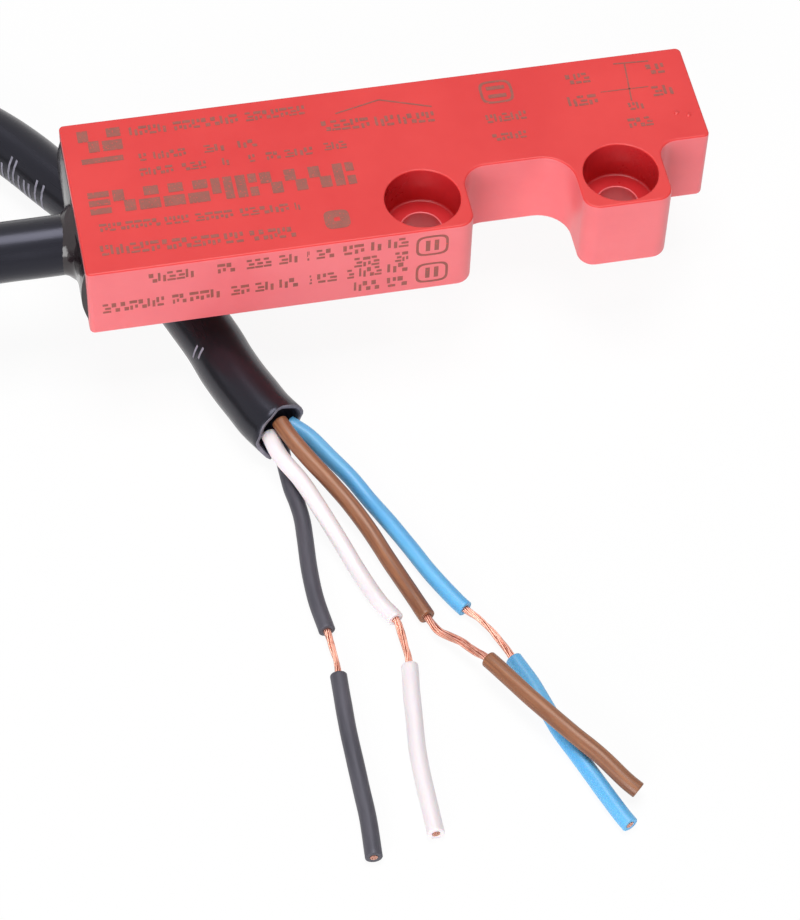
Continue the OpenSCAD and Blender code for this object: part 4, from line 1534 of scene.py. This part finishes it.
@dataclass
class InnerWorks:
    """The potted contents, which keep their CAD shapes and get their finishes.

    Attributes:
        finishes: Finish of each node.
    """

    finishes: dict[str, Finish] = field(default_factory=lambda: {
        "potting_resin": POTTING, "circuit_board": LAMINATE,
        "reed_a_glass": REED_GLASS, "reed_b_glass": REED_GLASS,
        "reed_a_fixed_lead": REED_WIRE, "reed_a_moving_lead": REED_WIRE,
        "reed_b_open_lead": REED_WIRE, "reed_b_closed_lead": REED_WIRE, "reed_b_common_lead": REED_WIRE,
        "reed_a_blade": BLADE_PLATING, "reed_b_blade": BLADE_PLATING,
        "resistor_a": CHIP, "resistor_b": CHIP, "solder_joints": SOLDER,
        "white_tail": WHITE_INSULATION, "brown_tail": BROWN_INSULATION,
        "blue_tail": BLUE_INSULATION, "black_tail": BLACK_INSULATION,
    })

    def dress(self, nodes: dict[str, bpy.types.Object]) -> list[bpy.types.Object]:
        """Give each potted node its finish.

        Args:
            nodes: The CAD nodes by name.

        Returns:
            The dressed nodes.
        """
        for name, finish in self.finishes.items():
            mesh = nodes[name].data
            mesh.materials.clear()
            mesh.materials.append(finish.material())
        return [nodes[name] for name in self.finishes]


@dataclass(frozen=True)
class Lamp:
    """A soft square lamp.

    Attributes:
        name: The lamp's name.
        place: Where it hangs, in mm.
        side: Its side, in mm.
        watts: Its power.
    """

    name: str
    place: Point
    side: float
    watts: float


@dataclass
class Studio:
    """Floor, light and camera of the photograph. Sizes in mm.

    Attributes:
        floor: Height of the floor, which the cable lies on.
        floor_reach: How far the floor goes on from the middle on each side.
        paper: The floor's tone, sRGB hex.
        paper_gloss: Level of the floor's reflections.
        paper_roughness: The floor's roughness.
        shadow_share: Share of the real light on the floor that the camera sees.
        ambient: Strength of the even light.
        lamps: The lamps.
        aim: Point that the lamps are turned to.
        lens: Focal length.
        sensor: Width of the camera's sensor.
        clip: Nearest and farthest distance that the camera sees.
        eye: Place of the camera.
        right: The camera's direction to the right.
        up: Its upward direction.
        ahead: Its line of sight.
    """

    floor: float = -6.9
    floor_reach: float = 3000.0
    paper: str = "#FAFAFA"
    paper_gloss: float = 0.1
    paper_roughness: float = 0.9
    shadow_share: float = 0.07
    ambient: float = 0.13
    lamps: tuple[Lamp, ...] = (
        Lamp("overhead", (0, 60, 640), 360, 3.2), Lamp("front", (-330, -560, 220), 420, 3.2))
    aim: Point = (-5, -20, 0)
    lens: float = 126.39
    sensor: float = 36.0
    clip: tuple[float, float] = (10.0, 20000.0)
    eye: Point = (-38.341, -170.278, 195.133)
    right: Point = (0.98021741, -0.19629846, 0.02531295)
    up: Point = (0.14068114, 0.78096253, 0.60852801)
    ahead: Point = (0.13922158, 0.5929287, -0.79312856)

    def camera(self) -> None:
        """Add the camera at the photograph's place and angle."""
        data = bpy.data.cameras.new("camera")
        data.lens = self.lens
        data.sensor_width = self.sensor
        data.clip_start = self.clip[0] * MM
        data.clip_end = self.clip[1] * MM
        eye = bpy.data.objects.new("camera", data)
        turn = Matrix((self.right, self.up, [-c for c in self.ahead])).transposed()
        eye.matrix_world = Matrix.Translation(Vector(self.eye) * MM) @ turn.to_4x4()
        bpy.context.scene.collection.objects.link(eye)
        bpy.context.scene.camera = eye

    def backdrop(self) -> None:
        """Add the white floor, which shows nearly white to the camera and keeps a faint shadow."""
        size = self.floor_reach * MM
        mesh = bpy.data.meshes.new("floor")
        z = self.floor * MM
        mesh.from_pydata([(-size, -size, z), (size, -size, z), (size, size, z), (-size, size, z)], [],
                         [(0, 1, 2, 3)])
        made = bpy.data.materials.new("white_paper_floor")
        made.use_nodes = True
        tree = made.node_tree
        shader = tree.nodes["Principled BSDF"]
        shader.inputs["Base Color"].default_value = linear(self.paper)
        shader.inputs["Roughness"].default_value = self.paper_roughness
        shader.inputs["Specular IOR Level"].default_value = self.paper_gloss
        white = add_node(tree, "ShaderNodeEmission", {"Strength": 1.0}).outputs[0]
        share = self.seen_rays(tree, self.shadow_share)
        mixed = add_node(tree, "ShaderNodeMixShader", {0: share, 1: shader.outputs[0], 2: white}).outputs[0]
        tree.links.new(mixed, tree.nodes["Material Output"].inputs["Surface"])
        mesh.materials.append(made)
        floor = bpy.data.objects.new("floor", mesh)
        bpy.context.scene.collection.objects.link(floor)

    @staticmethod
    def seen_rays(tree: bpy.types.NodeTree, left: float) -> bpy.types.NodeSocket:
        """Tell rays that show the surroundings from rays that light the object.

        Args:
            tree: The tree that takes the nodes.
            left: Amount by which the share stays under 1.

        Returns:
            That share for camera, glossy and transmission rays, and 0 for the others.
        """
        rays = add_node(tree, "ShaderNodeLightPath").outputs
        seen = rays["Is Camera Ray"]
        for kind in ("Is Glossy Ray", "Is Transmission Ray"):
            seen = add_node(tree, "ShaderNodeMath", {0: seen, 1: rays[kind]}, operation="MAXIMUM").outputs[0]
        return add_node(tree, "ShaderNodeMath", {0: seen, 1: 1.0 - left}, operation="MULTIPLY").outputs[0]

    def hang(self, lamp: Lamp) -> None:
        """Hang one lamp and turn it to the object.

        Args:
            lamp: The lamp.
        """
        data = bpy.data.lights.new(lamp.name, "AREA")
        data.shape = "SQUARE"
        data.size = lamp.side * MM
        data.energy = lamp.watts
        light = bpy.data.objects.new(lamp.name, data)
        aim = Vector(self.aim) - Vector(lamp.place)
        light.rotation_euler = aim.to_track_quat("-Z", "Y").to_euler()
        light.location = Vector(lamp.place) * MM
        bpy.context.scene.collection.objects.link(light)

    def world(self) -> None:
        """Set a dim even light, white where the camera, a reflection or glass shows it."""
        scene = bpy.context.scene
        scene.world = bpy.data.worlds.new("studio")
        scene.world.use_nodes = True
        tree = scene.world.node_tree
        tree.nodes["Background"].inputs["Color"].default_value = grey(1.0)
        tree.nodes["Background"].inputs["Strength"].default_value = self.ambient
        seen = self.seen_rays(tree, 0.0)
        white = add_node(tree, "ShaderNodeBackground", {"Strength": 1.0}).outputs[0]
        mixed = add_node(tree, "ShaderNodeMixShader", {
            0: seen, 1: tree.nodes["Background"].outputs[0], 2: white}).outputs[0]
        tree.links.new(mixed, tree.nodes["World Output"].inputs["Surface"])
        scene.view_settings.view_transform = "Standard"

    def build(self) -> None:
        """Set the whole studio up."""
        self.camera()
        self.backdrop()
        self.world()
        for lamp in self.lamps:
            self.hang(lamp)


def report(part: str, pieces: list[bpy.types.Object]) -> None:
    """Log each piece of a sub-assembly.

    Args:
        part: The sub-assembly's name.
        pieces: Its pieces.
    """
    for piece in pieces:
        finishes = ", ".join(made.name for made in piece.data.materials)
        log.info("%s: %s, %d faces in %s", part, piece.name, len(piece.data.polygons), finishes)


def main() -> None:
    """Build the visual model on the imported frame, class by class, and report its pieces."""
    logging.basicConfig(level=logging.INFO, format="%(name)s: %(message)s")
    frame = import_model()
    Studio().build()
    log.info("studio set")
    lead = FlyingLead()
    report("flying lead", lead.build())
    for core in CORES:
        report(f"{core.colour.value} core", core.build(lead))
    report("housing", Housing().build())
    report("resin face", ResinFace().build())
    for layer in PRINTS:
        report("print", layer.build())
    report("inner works", InnerWorks().dress(frame["nodes"]))


if __name__ == "__main__":
    main()
